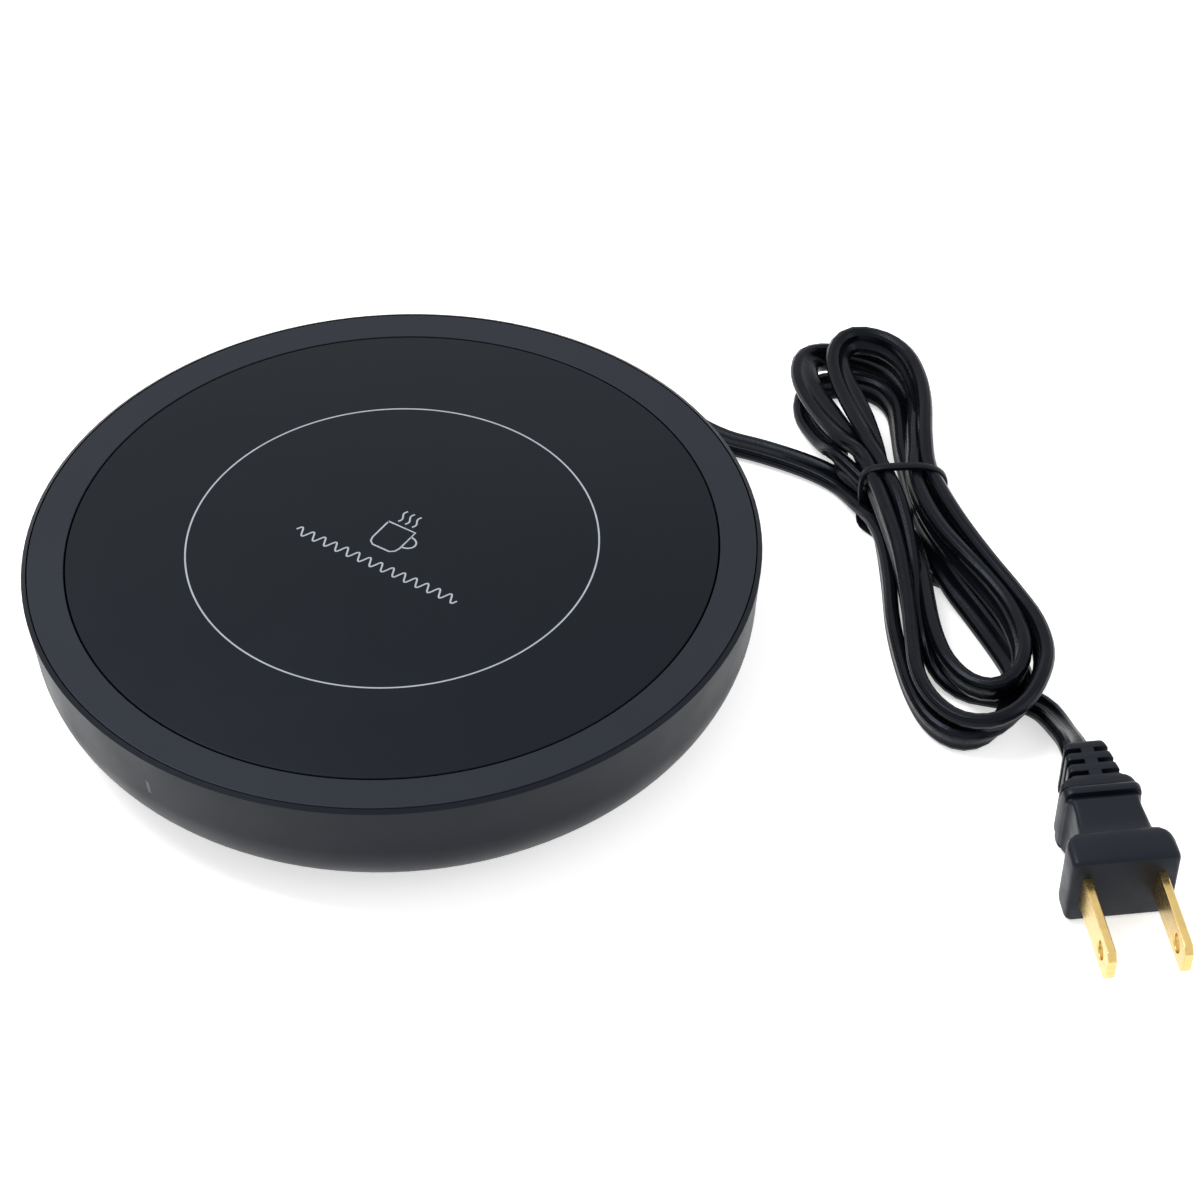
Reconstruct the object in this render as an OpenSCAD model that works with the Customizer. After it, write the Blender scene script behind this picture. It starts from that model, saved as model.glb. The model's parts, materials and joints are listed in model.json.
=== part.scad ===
// Electric mug warmer: a round base with a spring-borne glass plate that closes a switch
// when a mug stands on it, a small lamp at the front and a flat twin lead with its plug.
// Millimetres. +Z up, origin on the table under the centre, lamp at -Y, lead at +Y.

/* [Housing] */
// Outer diameter across the rim
housing_d = 130; // [126:1:150]
// Height of the room for wires and switch under the tray
room_h = 8.2; // [7.6:0.1:12]
// Wall and floor thickness of the lower shell
shell_t = 2.2; // [1.8:0.1:2.4]
// Height of the upright part of the wall
upright_h = 9.35; // [8.5:0.05:11]
// How far the upright part leans in towards its foot
wall_draft = 0.8; // [0.2:0.1:1.5]
// Angle that the rounded underside turns through
bowl_sweep = 73; // [65:1:80]
// Width of the chamfer on the lip
lip_w = 0.8; // [0.6:0.1:1]
// Height of the chamfer on the lip
lip_h = 0.5; // [0.3:0.1:0.8]

/* [Bezel and tray] */
// Width of the flat ring round the plate
bezel_w = 6.4; // [5.6:0.1:8]
// Thickness of the flat ring
bezel_t = 2; // [1.6:0.1:2.4]
// Seam between the ring and the lip
seam_gap = 0.2; // [0.1:0.05:0.3]
// Groove between the plate and the ring
groove_w = 0.45; // [0.35:0.05:0.8]
// Thickness of the skirt round the plate well
skirt_t = 1.8; // [1.4:0.1:2]
// Thickness of the tray
tray_t = 1.8; // [1.4:0.1:2]

/* [Warming plate] */
// Thickness of the glass
glass_t = 3; // [2.6:0.1:3.4]
// Chamfer on the edge of the glass
glass_edge = 0.3; // [0.1:0.1:0.6]
// Thickness of the silicone bead under the glass
seal_t = 0.3; // [0.2:0.1:0.6]
// Thickness of the aluminium spreader
spreader_t = 1.5; // [1.2:0.1:1.8]
// Thickness of the heating element
heater_t = 0.8; // [0.6:0.1:1]
// Thickness of the insulation pad
pad_t = 1.2; // [1:0.1:1.4]
// Thickness of the carrier floor
carrier_t = 1.8; // [1.6:0.1:2]
// Width of the carrier rim under the glass
carrier_rim_w = 3.5; // [3:0.1:4.5]
// How far a mug presses the plate down
travel = 1; // [0.6:0.1:1.1]

/* [Guides and springs] */
// Distance of the guide bosses in from the edge of the plate
guide_inset = 17.15; // [12:0.05:20]
// Diameter of a guide boss
guide_d = 6; // [5.6:0.1:6.4]
// Height of a spring with no mug on the plate
spring_h = 3.5; // [3.4:0.1:3.8]
// Spring wire diameter
spring_wire_d = 0.6; // [0.4:0.1:0.7]
// Turns of a spring
spring_turns = 3; // [2:1:3]

/* [Feet and screws] */
// Diameter of a rubber foot
foot_d = 11; // [8:0.5:13]
// How far the feet lift the shell off the table
foot_lift = 1; // [0.5:0.1:1.5]
// Depth of the pocket that holds a foot
foot_pocket = 0.9; // [0.6:0.1:1.2]
// Distance of the feet in from the edge of the flat floor
foot_inset = 9; // [7:0.5:14]
// Thread diameter of a housing screw
housing_screw_d = 2.9; // [2.4:0.1:3]
// Diameter of a screw boss on the shell
boss_d = 8; // [7.6:0.1:8.4]

/* [Weight switch] */
// Length of the switch
switch_l = 12.8; // [12.4:0.1:13.4]
// Width of the switch
switch_w = 5.8; // [5.4:0.1:6.4]
// Height of the switch
switch_h = 5.2; // [5:0.1:5.4]
// Distance from the lever's pin to the actuator
lever_arm = 9; // [8.6:0.1:9.4]
// Angle of the lever with no mug on the plate
lever_rest_a = 7.4; // [7:0.1:8]
// Thickness of the lever
lever_t = 0.35; // [0.3:0.05:0.4]

/* [Lamp] */
// Width of the lamp slot
lamp_w = 1.1; // [0.8:0.1:1.6]
// Height of the lamp slot
lamp_h = 3; // [2:0.1:3.4]
// Depth of the middle of the lamp slot below the top face
lamp_drop = 7.7; // [7:0.1:8]

/* [Lead and plug] */
// Width of the flat twin lead
cord_w = 5.6; // [5:0.1:6]
// Thickness of the flat twin lead
cord_t = 2.8; // [2.4:0.1:3]
// Length of the strain relief outside the housing
relief_l = 7; // [5:0.5:8]
// Height of the folded lead
hank_h = 11.2; // [10:0.1:13]
// Thickness of the plug at its front flange
plug_h = 14; // [13:0.5:15]
// Width of the plug at its front flange
plug_w = 18.4; // [18:0.2:24]
// Length of the plug without its blades
plug_l = 28.5; // [27:0.5:34]
// Distance between the middles of the two blades
blade_pitch = 12.7; // [12.5:0.1:13]

/* [Hidden] */
$fn = 96;
CUT = 1;                    // how far a cutting shape reaches past the face it cuts
SIDES = 8;                  // sides of a swept wire
housing_r = housing_d / 2;

// Heights, from the table up
floor_z = foot_lift + shell_t;
tray_z = floor_z + room_h;
tray_top_z = tray_z + tray_t;
carrier_z = tray_top_z + spring_h;
pad_z = carrier_z + carrier_t;
heater_z = pad_z + pad_t;
spreader_z = heater_z + heater_t;
glass_z = spreader_z + spreader_t;
total_h = glass_z + glass_t;
ledge_z = total_h - bezel_t;
lamp_z = total_h - lamp_drop;

// Shell section: an arc between the upright wall and the flat base
arc_z = total_h - upright_h;
arc_r = (arc_z - foot_lift) / sin(bowl_sweep);
arc_x = housing_r - wall_draft - arc_r;
inner_arc_r = arc_r - shell_t;
inner_sweep = asin((arc_z - floor_z) / inner_arc_r);
floor_r = arc_x + inner_arc_r * cos(inner_sweep);
inner_top_r = housing_r - shell_t - 0.1;   // inner wall at the ledge that the ring rests on
ARC_STEPS = 16;

// Rim, ring and plate radii, from the outside in
lip_r = housing_r - lip_w;
bezel_r = lip_r - seam_gap;
well_r = bezel_r - bezel_w;
plate_r = well_r - groove_w;
carrier_gap = 0.2;          // the carrier stands this far inside the edge of the glass
carrier_r = plate_r - carrier_gap;
carrier_in_r = carrier_r - carrier_rim_w;
stack_gap = 0.5;            // gap round the discs in the carrier
seal_inset = 0.3;           // the bead stands this far inside both edges of the carrier rim

// Screws and bosses
thread_gap = 0.05;          // between a thread and its pilot hole
pass_gap = 0.2;             // between a thread and a hole that it passes through
boss_r = floor_r - boss_d / 2;
foot_circle_r = floor_r - foot_inset;
boss_top_z = floor_z + 2.8;
BOSS_ANGLES = [45, 135, 225, 315];
housing_head_d = 5.8;
housing_head_h = 2.1;
head_seat_z = foot_lift + 2.6;
housing_screw_l = 7;
frame_boss_d = 6.5;
pilot_rest = 0.5;           // solid left above a pilot hole

// Guides: bosses on the carrier slide in the tray, and wide screw heads stop them
GUIDE_ANGLES = [0, 120, 240];
guide_r = plate_r - guide_inset;
guide_gap = 0.1;
stop_gap = 0.1;
guide_end_z = tray_z - stop_gap;
guide_screw_d = 2.5;
guide_screw_l = 4.6;
guide_head_d = 9;
guide_head_h = 1.8;
spring_gap = 0.25;          // between a guide boss and the spring round it
spring_seat_gap = 0.05;
SPRING_STEPS = 14;          // rings in one turn of a spring
SPRING_SIDES = 6;

// Switch, standing on the floor against a bracket
SWITCH_AT = [-33, 0];       // the pin's end of the switch, on its middle line
pivot_x = 1;
pivot_z = switch_h + 1;
ear_t = 0.7;
ear_l = 2.2;
ear_top = 0.8;              // ear above the pin
pin_d = 0.8;
pin_gap = 0.05;
eye_d = 1.7;
lever_w = switch_w - 2 * ear_t - 0.4;
lever_over = 1.5;           // lever past the actuator
plunger_d = 1.6;
plunger_arm = lever_arm / 2;
plunger_gap = 0.05;
plunger_in = 2;             // plunger inside the body
plunger_head_gap = 0.25;    // between the plunger and the lever over it
plunger_top = pivot_z + plunger_arm * tan(lever_rest_a) - lever_t / 2 - plunger_head_gap;
plunger_room = travel * plunger_arm / lever_arm + 0.1;
switch_screw_d = 1.8;
SWITCH_SCREW_X = [2.9, 10];
switch_screw_z = 2.9;
switch_head_d = 2.8;
switch_head_h = 1.2;
bracket_t = 2.4;
bracket_h = 4.4;
terminal_w = 2.4;
terminal_t = 0.4;
terminal_l = 3.5;
terminal_z = 0.4;
TERMINAL_X = [2, 6.4, 10.8];
actuator_d = 3.2;
actuator_gap = 0.3;         // between the actuator and the lever
lever_room = 0.5;           // round the lever in its window in the tray
wire_clear = 5.4;           // the live wire passes the switch's end at this distance
actuator_x = SWITCH_AT[0] + pivot_x + lever_arm;
actuator_z = floor_z + pivot_z + lever_arm * tan(lever_rest_a) + lever_t / 2 + actuator_gap;

// Sensors in the window of the carrier, pressed on the element by a strap
thermostat_l = 20;
thermostat_w = 7.3;
window_end = 4.5;           // window past each end of the thermostat
WINDOW_LO = [-thermostat_l / 2 - window_end, -5];
WINDOW_HI = [thermostat_l / 2 + window_end, 9];
thermostat_h = 3.8;
sensor_z = heater_z - thermostat_h;
fuse_y = 6.3;
fuse_l = 11;
fuse_d = 2.9;
sleeve_gap = 0.05;
fuse_sleeve_d = 3.8;
strap_t = 0.4;
strap_w = 5;
STRAP_Y = [-7.6, 11.6];     // middles of the two strap screws
strap_end = 2.2;            // strap past each screw
strap_screw_d = 1.6;
strap_screw_l = 2;
strap_head_d = 3;
strap_head_h = 0.9;
strap_pad_d = 4;
terminal_stud_d = 3;
terminal_stud_h = 0.6;
stud_x = thermostat_l / 2 + 2.2;                    // heater terminal that the neutral wire reaches
LINK_STUD = [-thermostat_l / 2 - 1.2, fuse_y];      // heater terminal that the fuse reaches

// Wires
wire_d = 1.9;
thin_wire_d = 1.2;
run_z = floor_z + wire_d / 2 + 0.15;
wire_hole_d = 6;
link_out = 1.3;             // the link stands out this far past the thermostat
solder_gap = 0.15;          // between the end of a wire and the face that it is soldered to

// Lamp circuit
LAMP_ANGLE = -90;
board_l = 11;
board_w = 9;
board_t = 1.6;
board_r = housing_r - 21.5; // inner end of the board
board_z = floor_z + 1.6;
board_post_d = 3;
led_d = 3;
led_l = 5.2;
led_r = housing_r - 14.6;   // rear face of the lamp
lamp_wire_x = 2;            // lamp wires meet the board at this distance from its middle
led_z = board_z + board_t + led_d / 2 + 0.4;
lead_wire_d = 0.5;
resistor_d = 1.8;
resistor_l = 5;
lens_gap = 0.05;
lens_wall_r = housing_r - wall_draft * (total_h - lip_h - lamp_z) / (upright_h - lip_h);
lens_back_r = lens_wall_r - shell_t;
lens_flange_t = 1;
lens_flange_w = 2.4;
lens_led_gap = 0.3;
lens_flange_over = 0.6;     // flange past the slot, above and below
lens_flange_r = lens_back_r - 0.25;

// Lead inside the housing: outlet, clamp, split and sleeves
collar_w = 13;
collar_h = 7.2;
collar_in_y = housing_r - 11.5;
collar_out_y = housing_r - 1.5;
bushing_wall = 1.5;
neck_w = cord_w + 2 * bushing_wall;
neck_h = cord_t + 2 * bushing_wall - 0.4;
neck_gap = 0.1;
cord_gap = 0.15;
barb_l = 1.2;
barb_w = 10.4;
barb_h = 6.8;
collar_flange_t = 1.6;
collar_flange_w = 12;
collar_flange_h = 7;
nose_w = cord_w + 1.2;
nose_h = cord_t + 1.2;
exit_y = collar_out_y + relief_l + collar_flange_t;
clamp_y = housing_r - 17.5;
clamp_l = 16;
clamp_w = 6;
clamp_t = 1.5;
clamp_screw_x = 5.6;
clamp_screw_d = 2.2;
clamp_head_d = 3.8;
clamp_head_h = 0.8;
clamp_gap = 0.2;            // between the clamp's screws and the tray
outlet_z = tray_z - clamp_gap - clamp_head_h - clamp_t - cord_t / 2;
split_y = housing_r - 25;
sleeve_x = 5;
SLEEVE_Y = [housing_r - 42, housing_r - 30];
crimp_d = 4.8;
crimp_bore_d = 3.3;
crimp_z = floor_z + crimp_d / 2 + 0.1;
pair_x = 0.65;              // two thin wires in a sleeve, each this far from its middle
mixed_x = 1;                // a thin wire beside a thick one
wire_in = 2.5;              // length of a wire inside its sleeve

// Route of the lead from the collar to the hank, and from the hank to the plug
plug_roll = 2;              // the lead's stiffness holds the plug a little on its edge
plug_z = plug_h / 2 * cos(plug_roll) + plug_w / 2 * sin(plug_roll);
LEAD_ROUTE = [
    [0, collar_out_y, outlet_z], [0, exit_y - 3, outlet_z], [0, exit_y, outlet_z],
    [0, exit_y + 0.6, outlet_z],
    [1.4, 75.4, 6.2], [4.2, 77.4, 4.2], [8.2, 78.4, 2.4], [12.5, 78.7, 1.7], [17, 79.3, 1.5], [22, 80.6, 1.5],
    [27, 81.6, 1.5], [32, 82.3, 1.5], [37, 82.5, 1.5], [42, 81.8, 1.5], [46.5, 80.4, 1.5]
];
TAIL_ROUTE = [
    [100, 55.4, 1.5], [103.4, 53.3, 1.6], [106.6, 51, 2.2], [109.6, 48.4, 3.7],
    [112.6, 45.6, 5.6], [115.3, 42.8, 7.1], [118, 40.1, plug_z]
];

// Folded lead: two lobes and the waist that the tie holds
TIE_AT = [54, 81.5];
hank_turn = -46;
waist_w = 14.4;
waist_under = 1.3;
waist_over = 0.6;
UPPER_LOBE = [-38, -1.6];
upper_lobe_r = 12.8;
LOWER_LOBE = [41, 8];
lower_lobe_r = 11.5;
LOWER_END = [51.5, 3.5];
lower_end_r = 12.7;
LOBE_FACETS = 32;
waist_l = 5;
tie_t = 1;
tie_w = 2;

// Plug, lying on its broad side
PLUG_AT = [117.9, 40.2];
plug_turn = -45;
relief_tip_w = 7.2;
relief_tip_h = 11;
relief_end_w = 9.2;
relief_end_h = 11.6;
plug_relief_l = 9;
rim_w = 12.6;
rim_l = 5.5;                // length of the raised rim behind the grip
rim_step = 0.9;             // bevel on the edges of the rim
grip_near_w = 10.8;
grip_far_w = 12.2;
grip_h = plug_h - 1.4;
grip_l = 21.2;              // from the tip of the relief to the front flange
flange_round = 3;
slot_w = 1.1;
SLOT_X = [1.5, 3.8, 6.1];
spine_w = 2.2;              // solid left between the two rows of slots
slot_z = 2.4;               // the slots stop this far from the middle, over the lead
blade_w = 6.35;
blade_t = 1.5;
blade_l = 17;
blade_hole_d = 3.2;
blade_hole_x = 12.6;
blade_root = 6;             // length of a blade held inside the plug

// ---- Shared shapes ----

function arc(cx, cy, r, from, to, steps) = [
    for (i = [0:steps]) let (a = from + (to - from) * i / steps) [cx + r * cos(a), cy + r * sin(a)]
];
function unit(v) = v / norm(v);

// Points on a smooth curve through a route (Catmull-Rom), a few steps to each stretch
function blend(a, b, c, d, t) =
    ((2 * b) + (c - a) * t + (2 * a - 5 * b + 4 * c - d) * t * t + (3 * b - a - 3 * c + d) * t * t * t) / 2;
function smooth(route, steps) = let (last = len(route) - 1) concat(
    [for (i = [0:last - 1], k = [0:steps - 1])
        blend(route[max(i - 1, 0)], route[i], route[i + 1], route[min(i + 2, last)], k / steps)],
    [route[last]]
);
function heading(path, i) = unit(path[min(i + 1, len(path) - 1)] - path[max(i - 1, 0)]);
function level_side(t) = abs(t[2]) > 0.99 ? [1, 0, 0] : unit(cross([0, 0, 1], t));

// Directions across a path, each turned as little as can be from the one before it
function carried_sides(path) = [
    for (i = 0, s = level_side(heading(path, 0)); i < len(path);
        i = i + 1, s = i < len(path) ? unit(s - heading(path, i) * (s * heading(path, i))) : s) s
];
function level_sides(path) = [for (i = [0:len(path) - 1]) level_side(heading(path, i))];

// Section points [across, up] carried along a path
module sweep(path, section, sides) {
    count = len(path);
    m = len(section);
    points = [for (i = [0:count - 1]) let (up = cross(heading(path, i), sides[i]))
        for (p = section) path[i] + sides[i] * p[0] + up * p[1]];
    walls = [for (i = [0:count - 2], j = [0:m - 1])
        [i * m + j, (i + 1) * m + j, (i + 1) * m + (j + 1) % m, i * m + (j + 1) % m]];
    polyhedron(points, concat(walls, [[for (j = [0:m - 1]) j],
        [for (j = [m - 1:-1:0]) (count - 1) * m + j]]));
}
function round_section(d) = [for (j = [0:SIDES - 1]) [cos(j * 360 / SIDES), sin(j * 360 / SIDES)] * d / 2];
function flat_section(w, t)
    = [for (j = [0:SIDES - 1]) let (a = (j + 0.5) * 360 / SIDES, c = cos(a), s = sin(a))
    [sign(c) * (w - t) / 2 + c * t / 2 / cos(180 / SIDES), s * t / 2 / sin(67.5)]];

module wire(route, d = wire_d, steps = 3) {
    path = smooth(route, steps);
    sweep(path, round_section(d), carried_sides(path));
}
module flat_lead(route) {
    path = smooth(route, 4);
    sweep(path, flat_section(cord_w, cord_t), level_sides(path));
}

// A bar of oblong section, along +Y from the origin
module oblong(w, h, l) {
    translate([-(w - h) / 2, 0, 0]) rotate([-90, 0, 0]) cylinder(d = h, h = l);
    translate([(w - h) / 2, 0, 0]) rotate([-90, 0, 0]) cylinder(d = h, h = l);
    translate([-(w - h) / 2, 0, -h / 2]) cube([w - h, l, h]);
}

// A screw with its head down and its thread up, seated at the origin
module screw(d, l, head_d, head_h) {
    cylinder(d = d, h = l);
    translate([0, 0, -head_h]) cylinder(d = head_d, h = head_h);
}
module at_angles(angles, r) for (a = angles) rotate([0, 0, a]) translate([r, 0, 0]) children();
module disc(r, z, t) translate([0, 0, z]) cylinder(r = r, h = t);
module at_switch() translate([SWITCH_AT[0], SWITCH_AT[1], floor_z]) children();
module at_plug() translate([PLUG_AT[0], PLUG_AT[1], plug_z]) rotate([-plug_roll, 0, plug_turn]) children();
module at_tie() translate([TIE_AT[0], TIE_AT[1], 0]) rotate([0, 0, hank_turn]) children();

// ---- Housing ----

module shell_solid() rotate_extrude() polygon(concat(
    [[0, foot_lift]],
    arc(arc_x, arc_z, arc_r, -bowl_sweep, 0, ARC_STEPS),
    [[housing_r, total_h - lip_h], [lip_r, total_h], [0, total_h]]
));
module shell_room() rotate_extrude() polygon(concat(
    [[0, floor_z]],
    arc(arc_x, arc_z, inner_arc_r, -inner_sweep, 0, ARC_STEPS),
    [[inner_top_r, ledge_z], [lip_r, ledge_z], [lip_r, total_h + CUT], [0, total_h + CUT]]
));
module lamp_slot(w, h, l) {
    slot_in = housing_r - l;
    rotate([0, 0, LAMP_ANGLE]) translate([slot_in, 0, lamp_z]) {
        for (s = [-1, 1]) translate([0, 0, s * (h - w) / 2]) rotate([0, 90, 0]) cylinder(d = w, h = l + CUT);
        translate([0, -w / 2, -(h - w) / 2]) cube([l + CUT, w, h - w]);
    }
}
module base_shell() color("#24262b") difference() {
    union() {
        difference() {
            shell_solid();
            shell_room();
        }
        at_angles(BOSS_ANGLES, boss_r)
            disc(boss_d / 2, floor_z - shell_t / 2, boss_top_z - floor_z + shell_t / 2);
        translate([0, collar_in_y, outlet_z]) oblong(collar_w, collar_h, collar_out_y - collar_in_y);
        translate([-clamp_l / 2, clamp_y - clamp_w / 2, floor_z - CUT])
            cube([clamp_l, clamp_w, outlet_z - cord_t / 2 - floor_z + CUT]);
        at_switch() translate([0, switch_w / 2, -CUT]) cube([switch_l, bracket_t, bracket_h + CUT]);
        rotate([0, 0, LAMP_ANGLE]) for (x = [board_r + 2, board_r + board_l - 2])
            translate([x, 0, floor_z - CUT]) cylinder(d = board_post_d, h = board_z - floor_z + CUT);
    }
    at_angles(BOSS_ANGLES, boss_r) {
        disc(housing_head_d / 2 + pass_gap, foot_lift - CUT, head_seat_z - foot_lift + CUT);
        disc(housing_screw_d / 2 + pass_gap, head_seat_z - CUT, boss_top_z - head_seat_z + 2 * CUT);
    }
    at_angles([0, 90, 180, 270], foot_circle_r)
        disc(foot_d / 2 + pass_gap, foot_lift - CUT, foot_pocket + CUT);
    translate([0, collar_in_y - CUT, outlet_z])
        oblong(neck_w + 2 * neck_gap, neck_h + 2 * neck_gap, collar_out_y - collar_in_y + 2 * CUT);
    for (s = [-1, 1]) translate([s * clamp_screw_x, clamp_y, floor_z + pilot_rest])
        cylinder(d = clamp_screw_d + 2 * thread_gap, h = outlet_z);
    at_switch() for (x = SWITCH_SCREW_X) translate([x, switch_w / 2 - CUT, switch_screw_z])
        rotate([-90, 0, 0]) cylinder(d = switch_screw_d + 2 * thread_gap, h = bracket_t + 2 * CUT);
    lamp_slot(lamp_w + 2 * lens_gap, lamp_h + 2 * lens_gap, housing_r - lens_back_r + 1.5);
}

module bezel_frame() color("#26282d") difference() {
    union() {
        rotate_extrude() polygon([
            [0, tray_z], [well_r + skirt_t, tray_z], [well_r + skirt_t, ledge_z], [bezel_r, ledge_z],
            [bezel_r, total_h], [well_r, total_h], [well_r, tray_top_z], [0, tray_top_z]
        ]);
        at_angles(BOSS_ANGLES, boss_r) disc(frame_boss_d / 2, boss_top_z, tray_z - boss_top_z + tray_t / 2);
    }
    at_angles(BOSS_ANGLES, boss_r)
        disc(housing_screw_d / 2 + thread_gap, boss_top_z - CUT, tray_top_z - pilot_rest - boss_top_z + CUT);
    at_angles(GUIDE_ANGLES, guide_r) disc(guide_d / 2 + guide_gap, tray_z - CUT, tray_t + 2 * CUT);
    translate([SWITCH_AT[0] + pivot_x + pin_d, -lever_w / 2 - lever_room, tray_z - CUT])
        cube([lever_arm + lever_over + lever_room, lever_w + 2 * lever_room, tray_t + 2 * CUT]);
    for (s = [-1, 1]) translate([s * stud_x, 0, 0]) disc(wire_hole_d / 2, tray_z - CUT, tray_t + 2 * CUT);
}

module housing_screws() color("silver") at_angles(BOSS_ANGLES, boss_r) translate([0, 0, head_seat_z])
    screw(housing_screw_d, housing_screw_l, housing_head_d, housing_head_h);

module rubber_feet() color("#17181a") at_angles([0, 90, 180, 270], foot_circle_r) rotate_extrude() polygon([
    [0, 0], [foot_d / 2 - foot_lift / 2, 0], [foot_d / 2, foot_lift / 2],
    [foot_d / 2, foot_lift + foot_pocket], [0, foot_lift + foot_pocket]
]);

// ---- Warming plate ----

module glass_plate() color("#15161a") rotate_extrude() polygon([
    [0, glass_z], [plate_r - glass_edge, glass_z], [plate_r, glass_z + glass_edge],
    [plate_r, total_h - glass_edge], [plate_r - glass_edge, total_h], [0, total_h]
]);
module glass_seal() color("#b8b4ac") difference() {
    disc(carrier_r - seal_inset, glass_z - seal_t, seal_t);
    disc(carrier_in_r + seal_inset, glass_z - seal_t - CUT, seal_t + 2 * CUT);
}
module heat_spreader() color("#c9ccd0") disc(carrier_in_r - stack_gap, spreader_z, spreader_t);
module heater_element() color("#a8793c") {
    disc(carrier_in_r - 4 * stack_gap, heater_z, heater_t);
    for (p = [[stud_x, 0], LINK_STUD]) translate([p[0], p[1], heater_z - terminal_stud_h])
        cylinder(d = terminal_stud_d, h = terminal_stud_h);
}
module sensor_window(z, t) translate([WINDOW_LO[0], WINDOW_LO[1], z])
    cube([WINDOW_HI[0] - WINDOW_LO[0], WINDOW_HI[1] - WINDOW_LO[1], t]);
module insulation_pad() color("#e6e2d6") difference() {
    disc(carrier_in_r - stack_gap, pad_z, pad_t);
    sensor_window(pad_z - CUT, pad_t + 2 * CUT);
}
module plate_carrier() color("#2b2d31") difference() {
    union() {
        rotate_extrude() polygon([
            [0, carrier_z], [carrier_r, carrier_z], [carrier_r, glass_z - seal_t],
            [carrier_in_r, glass_z - seal_t], [carrier_in_r, pad_z], [0, pad_z]
        ]);
        at_angles(GUIDE_ANGLES, guide_r)
            disc(guide_d / 2, guide_end_z, carrier_z - guide_end_z + carrier_t / 2);
        translate([actuator_x, SWITCH_AT[1], 0])
            disc(actuator_d / 2, actuator_z, carrier_z - actuator_z + carrier_t / 2);
        for (y = STRAP_Y) translate([0, y, 0]) disc(strap_pad_d / 2, sensor_z, pad_z - sensor_z);
    }
    sensor_window(carrier_z - CUT, carrier_t + 2 * CUT);
    at_angles(GUIDE_ANGLES, guide_r)
        disc(guide_screw_d / 2 + thread_gap, guide_end_z - CUT, guide_screw_l + 2 * CUT);
    for (y = STRAP_Y) translate([0, y, 0])
        disc(strap_screw_d / 2 + thread_gap, sensor_z - CUT, strap_screw_l + CUT + pilot_rest / 2);
}
module guide_screws() color("silver") at_angles(GUIDE_ANGLES, guide_r) translate([0, 0, guide_end_z])
    screw(guide_screw_d, guide_screw_l, guide_head_d, guide_head_h);

module spring(r, h) {
    rings = SPRING_STEPS * spring_turns;
    rise = h - spring_wire_d;
    path = [for (i = [0:rings]) let (a = 360 * i / SPRING_STEPS)
        [r * cos(a), r * sin(a), spring_wire_d / 2 + rise * i / rings]];
    section = [for (j = [0:SPRING_SIDES - 1]) [cos(j * 60), sin(j * 60)] * spring_wire_d / 2];
    points = [for (i = [0:rings]) let (out = unit([path[i][0], path[i][1], 0]))
        for (p = section) path[i] + out * p[0] + [0, 0, p[1]]];
    walls = [for (i = [0:rings - 1], j = [0:SPRING_SIDES - 1]) let (n = (j + 1) % SPRING_SIDES)
        [i * SPRING_SIDES + n, (i + 1) * SPRING_SIDES + n, (i + 1) * SPRING_SIDES + j, i * SPRING_SIDES + j]];
    polyhedron(points, concat(walls,
        [[for (j = [SPRING_SIDES - 1:-1:0]) j], [for (j = [0:SPRING_SIDES - 1]) rings * SPRING_SIDES + j]]));
}
module return_springs() color("#9aa0a6") at_angles(GUIDE_ANGLES, guide_r)
    translate([0, 0, tray_top_z + spring_seat_gap])
        spring(guide_d / 2 + spring_gap + spring_wire_d / 2, spring_h - 2 * spring_seat_gap);

// ---- Sensors and element wiring ----

module thermostat() color("#d9d4c4") translate([-thermostat_l / 2, -thermostat_w / 2, sensor_z])
    cube([thermostat_l, thermostat_w, thermostat_h]);
module fuse_rod(d, l) translate([-l / 2, fuse_y, heater_z - fuse_sleeve_d / 2]) rotate([0, 90, 0])
    cylinder(d = d, h = l);
module thermal_fuse() color("#c8ccd2") fuse_rod(fuse_d, fuse_l);
module fuse_sleeve() color("#efe9dc") difference() {
    fuse_rod(fuse_sleeve_d, fuse_l);
    fuse_rod(fuse_d + 2 * sleeve_gap, fuse_l + CUT);
}
module sensor_strap() color("#b4b9bf") difference() {
    translate([-strap_w / 2, STRAP_Y[0] - strap_end, sensor_z - strap_t])
        cube([strap_w, STRAP_Y[1] - STRAP_Y[0] + 2 * strap_end, strap_t]);
    for (y = STRAP_Y) translate([0, y, 0])
        disc(strap_screw_d / 2 + thread_gap, sensor_z - strap_t - CUT, strap_t + 2 * CUT);
}
module strap_screws() color("silver") for (y = STRAP_Y) translate([0, y, sensor_z - strap_t])
    screw(strap_screw_d, strap_screw_l, strap_head_d, strap_head_h);

link_z = heater_z - fuse_sleeve_d / 2;
stud_end_z = heater_z - terminal_stud_h - solder_gap;
sensor_end_x = thermostat_l / 2 + solder_gap;
fuse_end_x = fuse_l / 2 + solder_gap;
terminal_end_y = -switch_w / 2 - terminal_l - solder_gap;
module element_links() color("#e8e0d0") {
    wire([
        [sensor_end_x + thin_wire_d / 10, 0, link_z], [thermostat_l / 2 + link_out, fuse_y / 6, link_z],
        [thermostat_l / 2 + link_out * 0.7, fuse_y * 0.75, link_z],
        [(fuse_end_x + sensor_end_x) / 2, fuse_y, link_z], [fuse_end_x, fuse_y, link_z]
    ], thin_wire_d);
    wire([
        [-fuse_end_x, fuse_y, link_z], [-(fuse_end_x + sensor_end_x) / 2, fuse_y, link_z],
        [LINK_STUD[0] + thin_wire_d / 2, fuse_y, link_z + 0.1], [LINK_STUD[0], fuse_y, stud_end_z - 0.2]
    ], thin_wire_d);
}
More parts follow.
